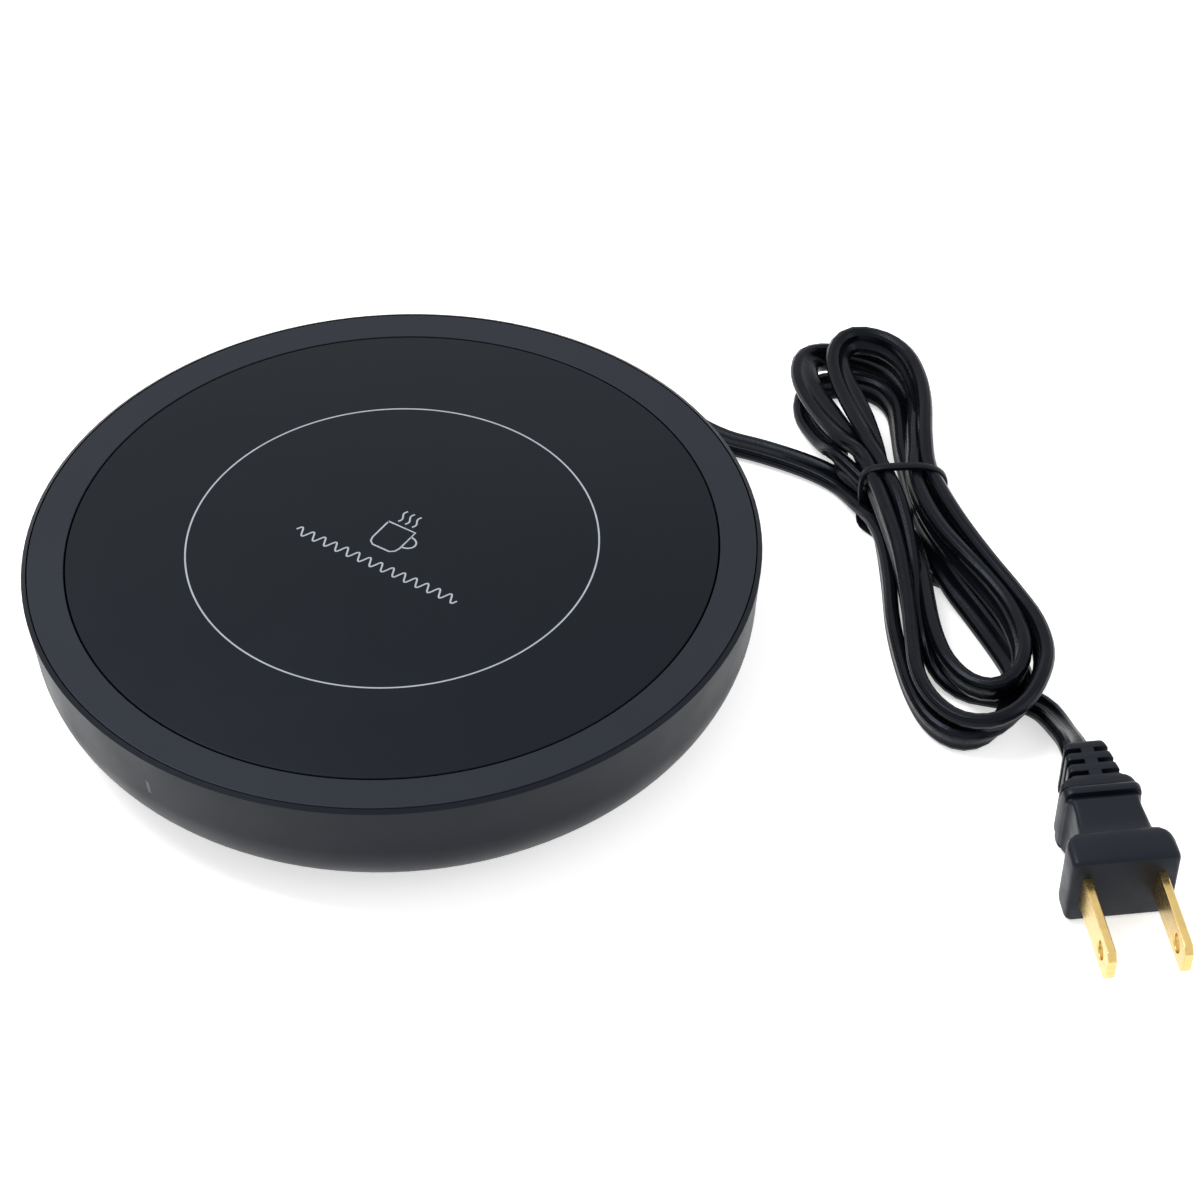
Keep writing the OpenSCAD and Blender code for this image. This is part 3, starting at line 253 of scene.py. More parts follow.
# The finish of each material slot. A base given as a word is one of the user's colours. rough is the least and
# the most roughness, drift how far the tone wanders, drift_scale and grain are cells of noise to the metre,
# and grain_depth and soft_bump are in metres
FINISHES = {
    "shell_plastic": dict(
        base="shell", rough=(0.36, 0.44), drift=0.05, drift_scale=35, grain=5200, grain_depth=0.000012,
        gloss=0.17, tint=COOL,
    ),
    "bezel_plastic": dict(
        base="bezel", rough=(0.38, 0.46), drift=0.05, drift_scale=35, grain=5200, grain_depth=0.000014,
        gloss=0.25, tint=COOL,
    ),
    "black_glass": dict(
        base="plate", rough=(0.34, 0.40), drift=0.06, drift_scale=22, grain=9000, grain_depth=0.000003,
        gloss=0.12, tint=COOL,
    ),
    "print_ink": dict(
        base="ink", rough=(0.45, 0.6), drift=0.06, drift_scale=400, grain=6000, grain_depth=0.00001,
        gloss=0.3,
    ),
    "cord_sheath": dict(
        base="cord", rough=(0.22, 0.32), drift=0.15, drift_scale=90, grain=1500, grain_depth=0.00003,
        gloss=0.14, soft_bump=0.0002, tint=COOL,
    ),
    "plug_sheath": dict(
        base="plug", rough=(0.34, 0.46), drift=0.1, drift_scale=90, grain=3800, grain_depth=0.00003,
        gloss=0.22, soft_bump=0.0001, tint=COOL,
    ),
    "tie_wire": dict(
        base=(0.003, 0.003, 0.0045), rough=(0.34, 0.46), drift=0.15, drift_scale=300, grain=4000,
        grain_depth=0.00002, gloss=0.14, tint=COOL,
    ),
    "lens_plastic": dict(
        base="lamp", rough=(0.3, 0.4), drift=0.08, drift_scale=700, grain=3000, grain_depth=0.00001,
        gloss=0.2, tint=COOL,
    ),
    "foot_rubber": dict(
        base=(0.018, 0.018, 0.019), rough=(0.7, 0.85), drift=0.15, drift_scale=260, grain=4200,
        grain_depth=0.00004, gloss=0.3,
    ),
    "zinc_steel": dict(
        base=(0.55, 0.56, 0.58), rough=(0.25, 0.42), drift=0.08, drift_scale=500, grain=4200,
        grain_depth=0.00001, metal=1.0,
    ),
    "spring_steel": dict(
        base=(0.46, 0.47, 0.49), rough=(0.22, 0.36), drift=0.08, drift_scale=500, grain=3000,
        grain_depth=0.00001, metal=1.0,
    ),
    "aluminium_sheet": dict(
        base=(0.72, 0.73, 0.75), rough=(0.3, 0.46), drift=0.05, drift_scale=60, grain=900,
        grain_depth=0.00001, stretch=(1, 14, 1), metal=1.0,
    ),
    "mica": dict(
        base=(0.36, 0.21, 0.08), rough=(0.35, 0.6), drift=0.2, drift_scale=260, grain=900,
        grain_depth=0.00003,
    ),
    "fibre_pad": dict(
        base=(0.72, 0.69, 0.6), rough=(0.85, 0.95), drift=0.1, drift_scale=500, grain=1500,
        grain_depth=0.00012, gloss=0.2,
    ),
    "heat_plastic": dict(
        base=(0.03, 0.031, 0.034), rough=(0.5, 0.62), drift=0.1, drift_scale=90, grain=3600,
        grain_depth=0.00003,
    ),
    "ceramic": dict(
        base=(0.7, 0.66, 0.55), rough=(0.4, 0.6), drift=0.06, drift_scale=260, grain=2600,
        grain_depth=0.00003,
    ),
    "fuse_metal": dict(
        base=(0.6, 0.62, 0.65), rough=(0.25, 0.35), drift=0.05, drift_scale=500, grain=3000,
        grain_depth=0.00001, metal=1.0,
    ),
    "glass_fibre": dict(
        base=(0.8, 0.77, 0.68), rough=(0.75, 0.9), drift=0.08, drift_scale=700, grain=2600,
        grain_depth=0.0001, stretch=(1, 3, 3), gloss=0.3,
    ),
    "silicone": dict(
        base=(0.5, 0.48, 0.44), rough=(0.45, 0.6), drift=0.08, drift_scale=260, grain=2600,
        grain_depth=0.00003,
    ),
    "white_insulation": dict(
        base=(0.75, 0.72, 0.64), rough=(0.4, 0.5), drift=0.05, drift_scale=400, grain=2000,
        grain_depth=0.00002,
    ),
    "grey_insulation": dict(
        base=(0.55, 0.55, 0.55), rough=(0.35, 0.5), drift=0.05, drift_scale=400, grain=2000,
        grain_depth=0.00002,
    ),
    "black_insulation": dict(
        base=(0.02, 0.02, 0.021), rough=(0.3, 0.45), drift=0.1, drift_scale=400, grain=2000,
        grain_depth=0.00002,
    ),
    "red_insulation": dict(
        base=(0.3, 0.02, 0.015), rough=(0.35, 0.5), drift=0.08, drift_scale=400, grain=2000,
        grain_depth=0.00002,
    ),
    "switch_plastic": dict(
        base=(0.016, 0.016, 0.018), rough=(0.42, 0.55), drift=0.1, drift_scale=260, grain=4200,
        grain_depth=0.00002,
    ),
    "plunger_plastic": dict(
        base=(0.42, 0.03, 0.02), rough=(0.35, 0.5), drift=0.08, drift_scale=600, grain=4200,
        grain_depth=0.00001,
    ),
    "brass_blade": dict(
        base=(0.72, 0.52, 0.2), rough=(0.22, 0.36), drift=0.06, drift_scale=300, grain=2400,
        grain_depth=0.00001, stretch=(1, 1, 5), metal=1.0,
    ),
    "circuit_board": dict(
        base=(0.02, 0.12, 0.04), rough=(0.3, 0.45), drift=0.15, drift_scale=600, grain=2000,
        grain_depth=0.00002, coat=0.4,
    ),
    "lamp_body": dict(
        base=(0.62, 0.6, 0.56), rough=(0.12, 0.22), drift=0.05, drift_scale=600, grain=2000,
        grain_depth=0.000005, coat=0.5,
    ),
    "resistor_body": dict(
        base=(0.55, 0.4, 0.24), rough=(0.4, 0.55), drift=0.08, drift_scale=900, grain=4200,
        grain_depth=0.00002,
    ),
}
finished = {}


def material_for(slot):
    """The material of a slot, made once."""
    if slot not in finished:
        values = dict(FINISHES[slot])
        colours = bpy.context.scene.warmer_colours
        if isinstance(values["base"], str):
            values["base"] = getattr(colours, values["base"])
        finished[slot] = finish(slot, **values)
        if slot == "lens_plastic":
            dark_sides(finished[slot], colours.shell)
    return finished[slot]


# ---- Making pieces ----


def object_of(name, bm, material):
    """A smooth-shaded object of the scene, made from a bmesh that is freed."""
    mesh = bpy.data.meshes.new(name)
    bm.to_mesh(mesh)
    bm.free()
    mesh.materials.append(material)
    mesh.shade_smooth()
    obj = bpy.data.objects.new(name, mesh)
    bpy.context.scene.collection.objects.link(obj)
    return obj


def piece(name, bm, body, slot, sharp, replaces=()):
    """A finished object that rides on a body, with edges sharp past an angle and a slot's finish."""
    bmesh.ops.triangulate(bm, faces=[f for f in bm.faces if len(f.verts) > 4])
    obj = object_of(name, bm, material_for(slot))
    obj.data.set_sharp_from_angle(angle=math.radians(sharp))
    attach(obj, body)
    if replaces:
        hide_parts(*replaces)
    return obj


def turned(profile, steps, closed=True):
    """A profile of (radius, height) points spun about the axis."""
    bm = bmesh.new()
    points = [bm.verts.new((r * MM, 0, z * MM)) for r, z in profile]
    pairs = list(zip(points, points[1:]))
    if closed:
        pairs.append((points[-1], points[0]))
    edges = [bm.edges.new(pair) for pair in pairs]
    bmesh.ops.spin(
        bm,
        geom=points + edges,
        cent=(0, 0, 0),
        axis=(0, 0, 1),
        dvec=(0, 0, 0),
        angle=math.tau,
        steps=steps,
        use_merge=True,
        use_duplicate=False,
    )
    bmesh.ops.remove_doubles(bm, verts=bm.verts, dist=WELD)
    bmesh.ops.recalc_face_normals(bm, faces=bm.faces)
    return bm


def rounded_profile(points, radii, steps):
    """The profile with an arc in place of each corner that has a radius."""
    count = len(points)
    out = []
    for i, (point, radius) in enumerate(zip(points, radii)):
        here = Vector(point)
        if not radius:
            out.append(tuple(here))
            continue
        before = Vector(points[i - 1]) - here
        after = Vector(points[(i + 1) % count]) - here
        half = before.angle(after) / 2
        run = radius / math.tan(half)
        centre = here + (before.normalized() + after.normalized()).normalized() * radius / math.sin(half)
        start = here + before.normalized() * run - centre
        end = here + after.normalized() * run - centre
        for k in range(steps + 1):
            out.append(tuple(centre + turn_between(start, end, k / steps)))
    return out


def turn_between(start, end, t):
    """A vector turned part of the way from start to end."""
    return Matrix.Rotation(start.angle_signed(end) * -t, 2) @ start


def merged_copy(node):
    """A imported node's mesh with its loose triangles joined."""
    bm = bmesh.new()
    bm.from_mesh(frame["nodes"][node].data)
    bmesh.ops.remove_doubles(bm, verts=bm.verts, dist=WELD)
    return bm


def join(bm, other):
    """Adds another bmesh to this one and frees it."""
    mesh = bpy.data.meshes.new("joined")
    other.to_mesh(mesh)
    other.free()
    bm.from_mesh(mesh)
    bpy.data.meshes.remove(mesh)


def soften(obj, edge, angle):
    """Rounds the edges that are sharper than the angle."""
    bevel = obj.modifiers.new("edges", "BEVEL")
    bevel.width = edge * MM
    bevel.segments = 2
    bevel.limit_method = "ANGLE"
    bevel.angle_limit = angle
    bevel.harden_normals = True
    bevel.use_clamp_overlap = True
    weighted = obj.modifiers.new("normals", "WEIGHTED_NORMAL")
    weighted.keep_sharp = True


def dressed(node, slot, edge, name=None):
    """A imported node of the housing, redone with rounded edges."""
    sharp = math.radians(28)
    bm = merged_copy(node)
    bmesh.ops.dissolve_limit(bm, angle_limit=math.radians(0.05), verts=bm.verts, edges=bm.edges)
    obj = object_of(name or node + "_dressed", bm, material_for(slot))
    obj.data.set_sharp_from_angle(angle=sharp)
    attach(obj, "housing")
    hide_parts(node)
    soften(obj, edge, sharp)


# ---- Cord ----

CORD_STEP = 2.0
# The cord's lean in degrees: 0 on edge, 90 flat
FLAT = 90
# The lead from the housing to the hank, flat all the way
LEAD_ROUTE = [
    (0, 66, 7.5), (0, 69.1, 7.5), (0, 72.1, 7.5), (0, 72.7, 7.5), (1.4, 75.4, 6.2), (4.2, 77.4, 4.2),
    (8.2, 78.4, 2.4), (12.5, 78.7, 1.7), (17, 79.3, 1.5), (22, 80.6, 1.5), (27, 81.6, 1.5), (32, 82.3, 1.5),
    (37, 82.5, 1.5), (42, 81.8, 1.5),
]
# The tail from the hank to the plug: points, each with its lean
TAIL_ROUTE = [
    (100, 53.2, 1.5, 90), (103.5, 52.8, 1.6, 84), (106.6, 51, 2.2, 76), (109.6, 48.4, 3.7, 72),
    (112.6, 45.6, 5.6, 72), (115.3, 42.8, 7.1, 76), (118, 40.1, 7.32, 84),
]
TIE_AT = Vector((54, 81.5))
HANK_TURN = math.radians(-46)
# The turns of the hank: along it, across it, height and lean
HANK_ROUTE = [
    (0, -5.7, 2.3, 60), (5, -5.1, 2.8, 26), (11, -5, 2.9, 8), (20, -5.7, 2.9, 2), (31, -7, 2.9, 4),
    (41, -7.3, 2.9, 6), (49.5, -6.8, 2.9, 10), (55.8, -5.3, 2.9, 12), (59.8, -2.6, 2.9, 14),
    (61.2, 0.8, 2.9, 16), (60.3, 4.8, 3.1, 30), (57.2, 8.4, 3.9, 55), (52.8, 11.2, 4.2, 76),
    (46.7, 12.1, 3.9, 54), (39.2, 11, 3, 50), (30.5, 8.7, 2.7, 50), (22, 6.2, 2.7, 45),
    (13.5, 4.5, 2.9, 30), (5.5, 3.6, 3.1, 0), (-2, 3.1, 3.1, 0), (-9, 3.2, 3, 2), (-15.5, 3.4, 2.9, 4),
    (-22, 4.1, 2.9, 8), (-28, 4.4, 2.9, 10), (-32.8, 2.8, 2.9, 12), (-35.6, -0.6, 2.9, 12),
    (-36.8, -5, 2.9, 12), (-36.2, -9.2, 2.9, 20), (-33, -11.9, 2.8, 46), (-28.2, -12.4, 2.5, 74),
    (-22.5, -11.2, 3.2, 86), (-16.5, -9.7, 4.5, 80), (-11, -9.3, 5.3, 6), (-5.5, -6.4, 4.9, 2),
    (0, -3.4, 3.7, 0), (5, -1.4, 3.1, 0), (11, 0.2, 3.6, 2), (19.5, 0.5, 4.6, 6), (28.5, -0.2, 5.3, 10),
    (37.5, -0.6, 5.7, 12), (45.3, 0.2, 5.9, 14), (51, 2.9, 6, 14), (53.4, 6.9, 6.6, 14),
    (51.8, 10.8, 7.8, 12), (46, 13, 8.4, 16), (37.8, 12.8, 8.2, 20), (30.4, 10.7, 8.4, 20),
    (22.5, 7.6, 8.6, 12), (14.5, 4.9, 8.7, 0), (6.5, 3.3, 8.6, 0), (-1.5, 2.9, 8.5, 0), (-8.5, 4.2, 8, 4),
    (-15.5, 5.4, 7, 6), (-23, 7, 5.9, 8), (-30.3, 7.3, 5.2, 10), (-36.8, 5.2, 4.8, 12), (-41, 1.2, 4.6, 12),
    (-42.8, -3.6, 4.8, 14), (-42.2, -8.2, 5.8, 30), (-39.2, -11.1, 7.2, 56), (-34, -12.2, 7.8, 76),
    (-28, -11.5, 8, 86), (-21.5, -9.9, 8.4, 88), (-14.5, -7.9, 8.8, 66), (-7.5, -5.6, 8.7, 12),
    (0, -4.8, 8.5, 0), (8.5, -4.2, 8.4, 0), (18, -3.7, 7.6, 2), (29, -4.1, 6.6, 6), (39, -5.1, 6.1, 10),
    (48, -5.7, 6.1, 16), (55.2, -4.1, 6.4, 24), (60.3, -0.4, 6.7, 30), (61.8, 4.7, 7.2, 30),
    (59.7, 9.9, 8, 26), (54.6, 14, 8.6, 22), (48.2, 16.5, 8.5, 18), (40.5, 16.5, 8.4, 18),
    (32, 14.4, 8.2, 14), (23, 11.5, 8.3, 8), (13.5, 8.8, 8.4, 4), (4.5, 6.9, 8.5, 0), (-3, 5.9, 8.7, 0),
    (-11, 6.6, 9.4, 6), (-19.3, 7.9, 9.8, 14), (-26.6, 8.3, 10, 20), (-33.2, 7.4, 10.1, 24),
    (-37.9, 4.9, 10.2, 26), (-40.3, 1.5, 10.3, 26), (-40.8, -1.7, 10.4, 26), (-39, -4.3, 10.4, 28),
    (-35.2, -5.6, 10.3, 48), (-30.2, -5.7, 10.1, 64), (-24.7, -5, 9.9, 72), (-18.3, -4, 9.6, 66),
    (-11.5, -3.2, 9.2, 42), (-4.5, -2.5, 8.8, 12), (3, -1.6, 8.6, 0), (11, -1, 7.2, 2), (20, -1.2, 5.6, 4),
    (29, -2.2, 4.2, 10), (37, -1.9, 3, 30), (43.2, -0.2, 1.9, 70), (47.4, 3, 1.5, 90), (49.4, 6.9, 1.5, 90),
    (50.7, 10.4, 1.5, 90),
]


def hank_point(along, across, height):
    """A point of the hank's own frame, in the frame of the object."""
    c, s = math.cos(HANK_TURN), math.sin(HANK_TURN)
    return Vector((TIE_AT.x + along * c - across * s, TIE_AT.y + along * s + across * c, height))


def cord_stations():
    """Points of the whole route, and the lean of the cord at each."""
    stations = [(Vector(p), FLAT) for p in LEAD_ROUTE]
    stations += [(hank_point(*p[:3]), p[3]) for p in HANK_ROUTE]
    stations += [(Vector(p[:3]), p[3]) for p in TAIL_ROUTE]
    return stations


def blend_points(a, b, c, d, t):
    """Catmull-Rom between b and c."""
    squared = (2 * a - 5 * b + 4 * c - d) * t * t
    cubed = (3 * b - a - 3 * c + d) * t * t * t
    return ((2 * b) + (c - a) * t + squared + cubed) / 2


def even_path(stations, gap):
    """The smooth route through the stations, cut into even steps, with its lean."""
    last = len(stations) - 1
    per_span = 12
    dense = []
    for i in range(last):
        points, leans = zip(*(stations[max(0, min(last, i + k))] for k in (-1, 0, 1, 2)))
        for k in range(per_span):
            t = k / per_span
            dense.append((blend_points(*points, t), blend_points(*leans, t)))
    dense.append(stations[-1])
    travelled = [0.0]
    for (a, _), (b, _) in zip(dense, dense[1:]):
        travelled.append(travelled[-1] + (b - a).length)
    count = round(travelled[-1] / gap)
    path, j = [], 0
    for i in range(count + 1):
        goal = travelled[-1] * i / count
        while j < len(dense) - 2 and travelled[j + 1] < goal:
            j += 1
        t = (goal - travelled[j]) / max(1e-9, travelled[j + 1] - travelled[j])
        path.append((dense[j][0].lerp(dense[j + 1][0], t), dense[j][1] * (1 - t) + dense[j + 1][1] * t))
    return path, travelled[-1]


def station_matrix(before, here, after, lean):
    """Places a section: its X across the cord's width, its Y across its thickness."""
    forward = (after - before).normalized()
    level = forward.cross(Vector((0, 0, 1))).normalized()
    upright = level.cross(forward).normalized()
    angle = math.radians(lean)
    width = upright * math.cos(angle) + level * math.sin(angle)
    thick = forward.cross(width).normalized()
    return Matrix((
        (width.x, thick.x, forward.x, here.x * MM),
        (width.y, thick.y, forward.y, here.y * MM),
        (width.z, thick.z, forward.z, here.z * MM),
        (0, 0, 0, 1),
    ))


def twin_section(width, thickness):
    """Outline of a flat twin cord: two round cores with fine ribs, and the groove between them."""
    ribs, rib_depth, core_arc = 8, 0.07, 256
    middle = (width - thickness) / 2
    steps = 4 * ribs
    half = []
    for k in range(steps + 1):
        angle = math.radians(core_arc * (k / steps - 0.5))
        radius = thickness / 2 - rib_depth / 2 * (1 - math.cos(math.tau * ribs * k / steps))
        half.append((middle + radius * math.cos(angle), radius * math.sin(angle)))
    groove = thickness * 0.35
    return half + [(0, groove)] + [(-x, -y) for x, y in half] + [(0, -groove)]


def swept(path, outline):
    """A section carried along a path by extruding its ring from step to step."""
    bm = bmesh.new()
    points = [p for p, _ in path]
    last = len(points) - 1
    frames = [
        station_matrix(points[max(0, i - 1)], points[i], points[min(last, i + 1)], path[i][1])
        for i in range(last + 1)
    ]
    ring = [bm.verts.new(frames[0] @ Vector((x * MM, y * MM, 0))) for x, y in outline]
    edges = [bm.edges.new((a, b)) for a, b in zip(ring, ring[1:] + ring[:1])]
    bm.faces.new(ring)
    for i in range(last):
        grown = bmesh.ops.extrude_edge_only(bm, edges=edges)["geom"]
        verts = [g for g in grown if isinstance(g, bmesh.types.BMVert)]
        edges = [g for g in grown if isinstance(g, bmesh.types.BMEdge) and all(v in verts for v in g.verts)]
        bmesh.ops.transform(bm, matrix=frames[i + 1] @ frames[i].inverted(), verts=verts)
    bmesh.ops.edgenet_fill(bm, edges=edges)
    bmesh.ops.recalc_face_normals(bm, faces=bm.faces)
    return bm


class WARMER_OT_cord(bpy.types.Operator):
    """The flat twin cord from the housing to the plug, folded into a hank."""

    bl_idname = "warmer.cord"
    bl_label = "Cord"

    def execute(self, context):
        sizes = context.scene.warmer_sizes
        path, total = even_path(cord_stations(), CORD_STEP)
        bm = swept(path, twin_section(sizes.cord_width, sizes.cord_thickness))
        nodes = ("cord_lead", "cord_hank", "cord_tail")
        cord = piece("cord", bm, "housing", "cord_sheath", sharp=60, replaces=nodes)
        return {"FINISHED"}


# ---- Twist tie ----

STRIP_T = 0.7
# The band in the hank's frame: its middle, its half reach across and up, how square its round is, and how
# far it sits askew and waves along the hank
BAND_MIDDLE = Vector((-1.2, 0.7, 6.2))
BAND_ACROSS, BAND_UP = 7.9, 5.7
BAND_SQUARE = 0.62
BAND_SKEW, BAND_WAVE = 0.6, 0.5
BAND_STEPS = 48
# The loose end in the hank's frame: points, each with its lean
END_WIDER, END_STEP = 1.3, 0.8
TIE_END = [
    ((-0.9, -7.1, 3.8), 0), ((0.1, -7.5, 2.1), 40), ((1.4, -7.2, 1), 80), ((3, -5.9, 0.6), 90),
    ((5.2, -4.2, 0.5), 90), ((8, -2.6, 0.5), 90), ((11, -1, 0.5), 90), ((15, 0.9, 0.75), 110),
    ((17.8, 2.3, 1.1), 150), ((19.6, 3.4, 1.15), 190), ((20.8, 4.2, 1.1), 220), ((20.4, 5.2, 0.9), 250),
]


def band_route():
    """The closed route of the band: a squarish round, a little askew along the hank."""
    route = []
    for k in range(BAND_STEPS):
        turn = math.tau * k / BAND_STEPS
        c, s = math.cos(turn), math.sin(turn)
        across = BAND_ACROSS * math.copysign(abs(c) ** BAND_SQUARE, c)
        up = BAND_UP * math.copysign(abs(s) ** BAND_SQUARE, s)
        along = BAND_SKEW * c + BAND_WAVE * math.sin(2 * turn)
        route.append(hank_point(*(BAND_MIDDLE + Vector((along, across, up)))))
    return route


def band(route, width):
    """A flat strip round a closed route, its width along the hank."""
    bm = bmesh.new()
    along = Vector((math.cos(HANK_TURN), math.sin(HANK_TURN), 0))
    count = len(route)
    outline = [(-1, -1), (-0.6, -1.25), (0.6, -1.25), (1, -1), (1, 1), (0.6, 1.25), (-0.6, 1.25), (-1, 1)]
    rings = []
    for i in range(count):
        forward = (route[(i + 1) % count] - route[i - 1]).normalized()
        out = forward.cross(along).normalized()
        places = [route[i] + along * (x * width / 2) + out * (y * STRIP_T / 2) for x, y in outline]
        rings.append([bm.verts.new(place * MM) for place in places])
    loops = [[bm.edges.new(pair) for pair in zip(ring, ring[1:] + ring[:1])] for ring in rings]
    for i in range(count):
        bmesh.ops.bridge_loops(bm, edges=loops[i - 1] + loops[i])
    bmesh.ops.recalc_face_normals(bm, faces=bm.faces)
    return bm


def strip_section(width, thickness):
    """Outline of a flat strip with the wire's swelling along its middle."""
    x, y = width / 2, thickness / 2
    half = [(x, -y * 0.5), (x, y * 0.5), (x * 0.5, y * 0.6), (x * 0.3, y), (-x * 0.3, y), (-x * 0.5, y * 0.6)]
    return half + [(-a, -b) for a, b in half]


class WARMER_OT_tie(bpy.types.Operator):
    """The twist tie round the waist of the hank, with its loose end."""

    bl_idname = "warmer.tie"
    bl_label = "Twist tie"

    def execute(self, context):
        width = context.scene.warmer_sizes.tie_width
        bm = band(band_route(), width)
        end, _ = even_path([(hank_point(*p), lean) for p, lean in TIE_END], END_STEP)
        join(bm, swept(end, strip_section(width * END_WIDER, STRIP_T)))
        piece("tie", bm, "housing", "tie_wire", sharp=40, replaces=("cord_tie",))
        return {"FINISHED"}


# ---- Plug ----

PLUG_AT = Vector((117.9, 40.2, 7.317))
PLUG_TURN = math.radians(-45)
PLUG_ROLL = math.radians(-2)
SLOT_FLOOR, SPINE, FILLET = 2.4, 1.1, 0.5
SLOT_W, SLOT_DEEP, SLOT_CHAMFER = 1.1, 0.58, 0.12
RELIEF_CORNER = 0.8
# Rings along the plug: place, half width, half height, and corner radius, which is 0 for the cross
# that is left between two slots. First the thin end of the relief
RELIEF = [
    (-0.7, 2.9, 4.8, 1), (-0.62, 3.2, 5.15, 0.9), (-0.4, 3.42, 5.36, 0.8),
    (0.1, 3.62, 5.46, 0.8),
]
# Where each pair of slots starts, and the half width and half height of the relief there
SLOTS = [(1.2, 3.7, 5.52), (3.85, 4.01, 5.61), (6.6, 4.34, 5.7)]
# The grip, the waist and the flange
BODY = [
    (7.95, 4.72, 5.76, 0.9), (8.1, 5.2, 5.79, 1.1), (8.35, 5.85, 5.82, 1.3), (8.8, 6.35, 5.86, 1.5),
    (9.4, 6.6, 5.88, 1.6), (10.1, 6.68, 5.88, 1.6), (10.2, 6.68, 5.3, 1.4), (10.7, 6.7, 5.3, 1.4),
    (10.8, 6.72, 6.45, 1.6), (11, 6.74, 6.75, 1.6), (11.4, 6.74, 6.92, 1.6), (12.3, 6.68, 6.93, 1.6),
    (12.6, 6.62, 6.78, 1.5), (12.7, 6.58, 5.85, 1.3), (13.4, 6.4, 5.85, 1.2), (13.5, 6.35, 6.25, 1.2),
    (13.8, 6.1, 6.42, 1), (14.4, 5.75, 6.42, 0.8), (16, 5.8, 6.32, 0.8), (19, 6.12, 6.3, 1),
    (21, 6.4, 6.3, 1.3), (21.3, 6.75, 6.4, 1.5), (21.45, 7.4, 6.65, 1.6), (21.7, 7.95, 6.82, 1.5),
    (22.3, 8.6, 6.93, 1.4), (23.2, 8.98, 7, 1.3), (24.4, 9.18, 7, 1.3), (27.4, 9.2, 7, 1.2),
    (28, 9.1, 6.9, 1.1), (28.35, 8.9, 6.7, 1), (28.5, 8.6, 6.4, 0.9),
]


def to_plug(bm):
    """Moves what was modelled along +X to the plug's place."""
    turn = Matrix.Rotation(PLUG_TURN, 4, "Z") @ Matrix.Rotation(PLUG_ROLL, 4, "X")
    bmesh.ops.transform(bm, matrix=Matrix.Translation(PLUG_AT * MM) @ turn, verts=bm.verts)


def slot_rings(x, w, h):
    """The rings of one pair of slots, with a small chamfer along both edges."""
    wider, cut_wider, higher = 0.13, 0.11, 0.03
    out, up = SLOT_CHAMFER, 0.02
    far = x + SLOT_W
    return [
        (x - out, w + out, h + up, RELIEF_CORNER),
        (x, w, h, RELIEF_CORNER),
        (x, w - SLOT_DEEP, h, 0),
        (far, w + cut_wider - SLOT_DEEP, h + higher, 0),
        (far, w + wider, h + higher, RELIEF_CORNER),
        (far + out, w + wider + out, h + higher + up, RELIEF_CORNER),
    ]


def plug_ring(x, w, h, corner):
    """One ring of the plug: a rounded rectangle, or the cross that is left between two slots."""
    turns = [math.radians(a) for a in (0, 22.5, 45, 67.5, 90)]
    if corner:
        bend = [(w - corner * (1 - math.cos(a)), h - corner * (1 - math.sin(a))) for a in turns]
    else:
        bend = [(SPINE + FILLET * (1 - math.sin(a)), SLOT_FLOOR + FILLET * (1 - math.cos(a))) for a in turns]
    quarter = [(w, SLOT_FLOOR), *bend, (SPINE, h)]
    back = quarter[::-1]
    around = [(w, 0)] + quarter + [(0, h)] + [(-y, z) for y, z in back] + [(-w, 0)]
    around += [(-y, -z) for y, z in quarter] + [(0, -h)] + [(y, -z) for y, z in back]
    return [Vector((x, y, z)) * MM for y, z in around]


def lofted(rings):
    """A closed skin over the rings, grown by extruding one into the next."""
    bm = bmesh.new()
    verts = [bm.verts.new(p) for p in rings[0]]
    edges = [bm.edges.new(pair) for pair in zip(verts, verts[1:] + verts[:1])]
    bm.faces.new(verts)
    for ring in rings[1:]:
        grown = bmesh.ops.extrude_edge_only(bm, edges=edges)["geom"]
        fresh = [g for g in grown if isinstance(g, bmesh.types.BMVert)]
        edges = [g for g in grown if isinstance(g, bmesh.types.BMEdge) and all(v in fresh for v in g.verts)]
        verts = [next(e.other_vert(v) for e in v.link_edges if e.other_vert(v) in fresh) for v in verts]
        for vert, place in zip(verts, ring):
            vert.co = place
    bm.faces.new(verts)
    bmesh.ops.recalc_face_normals(bm, faces=bm.faces)
    return bm


class WARMER_OT_plug(bpy.types.Operator):
    """The moulded plug with its ribbed relief, and its two blades."""

    bl_idname = "warmer.plug"
    bl_label = "Plug"

    def execute(self, context):
        rings = RELIEF + [ring for slot in SLOTS for ring in slot_rings(*slot)] + BODY
        bm = lofted([plug_ring(*ring) for ring in rings])
        to_plug(bm)
        piece("plug", bm, "housing", "plug_sheath", sharp=38, replaces=("plug_body",))
        dressed("plug_blades", "brass_blade", edge=0.25, name="blades")
        return {"FINISHED"}


# ---- Housing ----


class WARMER_OT_housing(bpy.types.Operator):
    """The shell, the ring with its tray, the relief of the cord, the feet, the lens and the screws."""

    bl_idname = "warmer.housing"
    bl_label = "Housing"

    def execute(self, context):
        edge = context.scene.warmer_sizes.edge_round
        dressed("base_shell", "shell_plastic", edge)
        dressed("bezel_frame", "bezel_plastic", edge)
        dressed("cord_bushing", "plug_sheath", edge=0.35)
        dressed("rubber_feet", "foot_rubber", edge=0.3)
        dressed("lamp_lens", "lens_plastic", edge=0.08)
        dressed("housing_screws", "zinc_steel", edge=0.25)
        return {"FINISHED"}


# ---- Warming plate ----


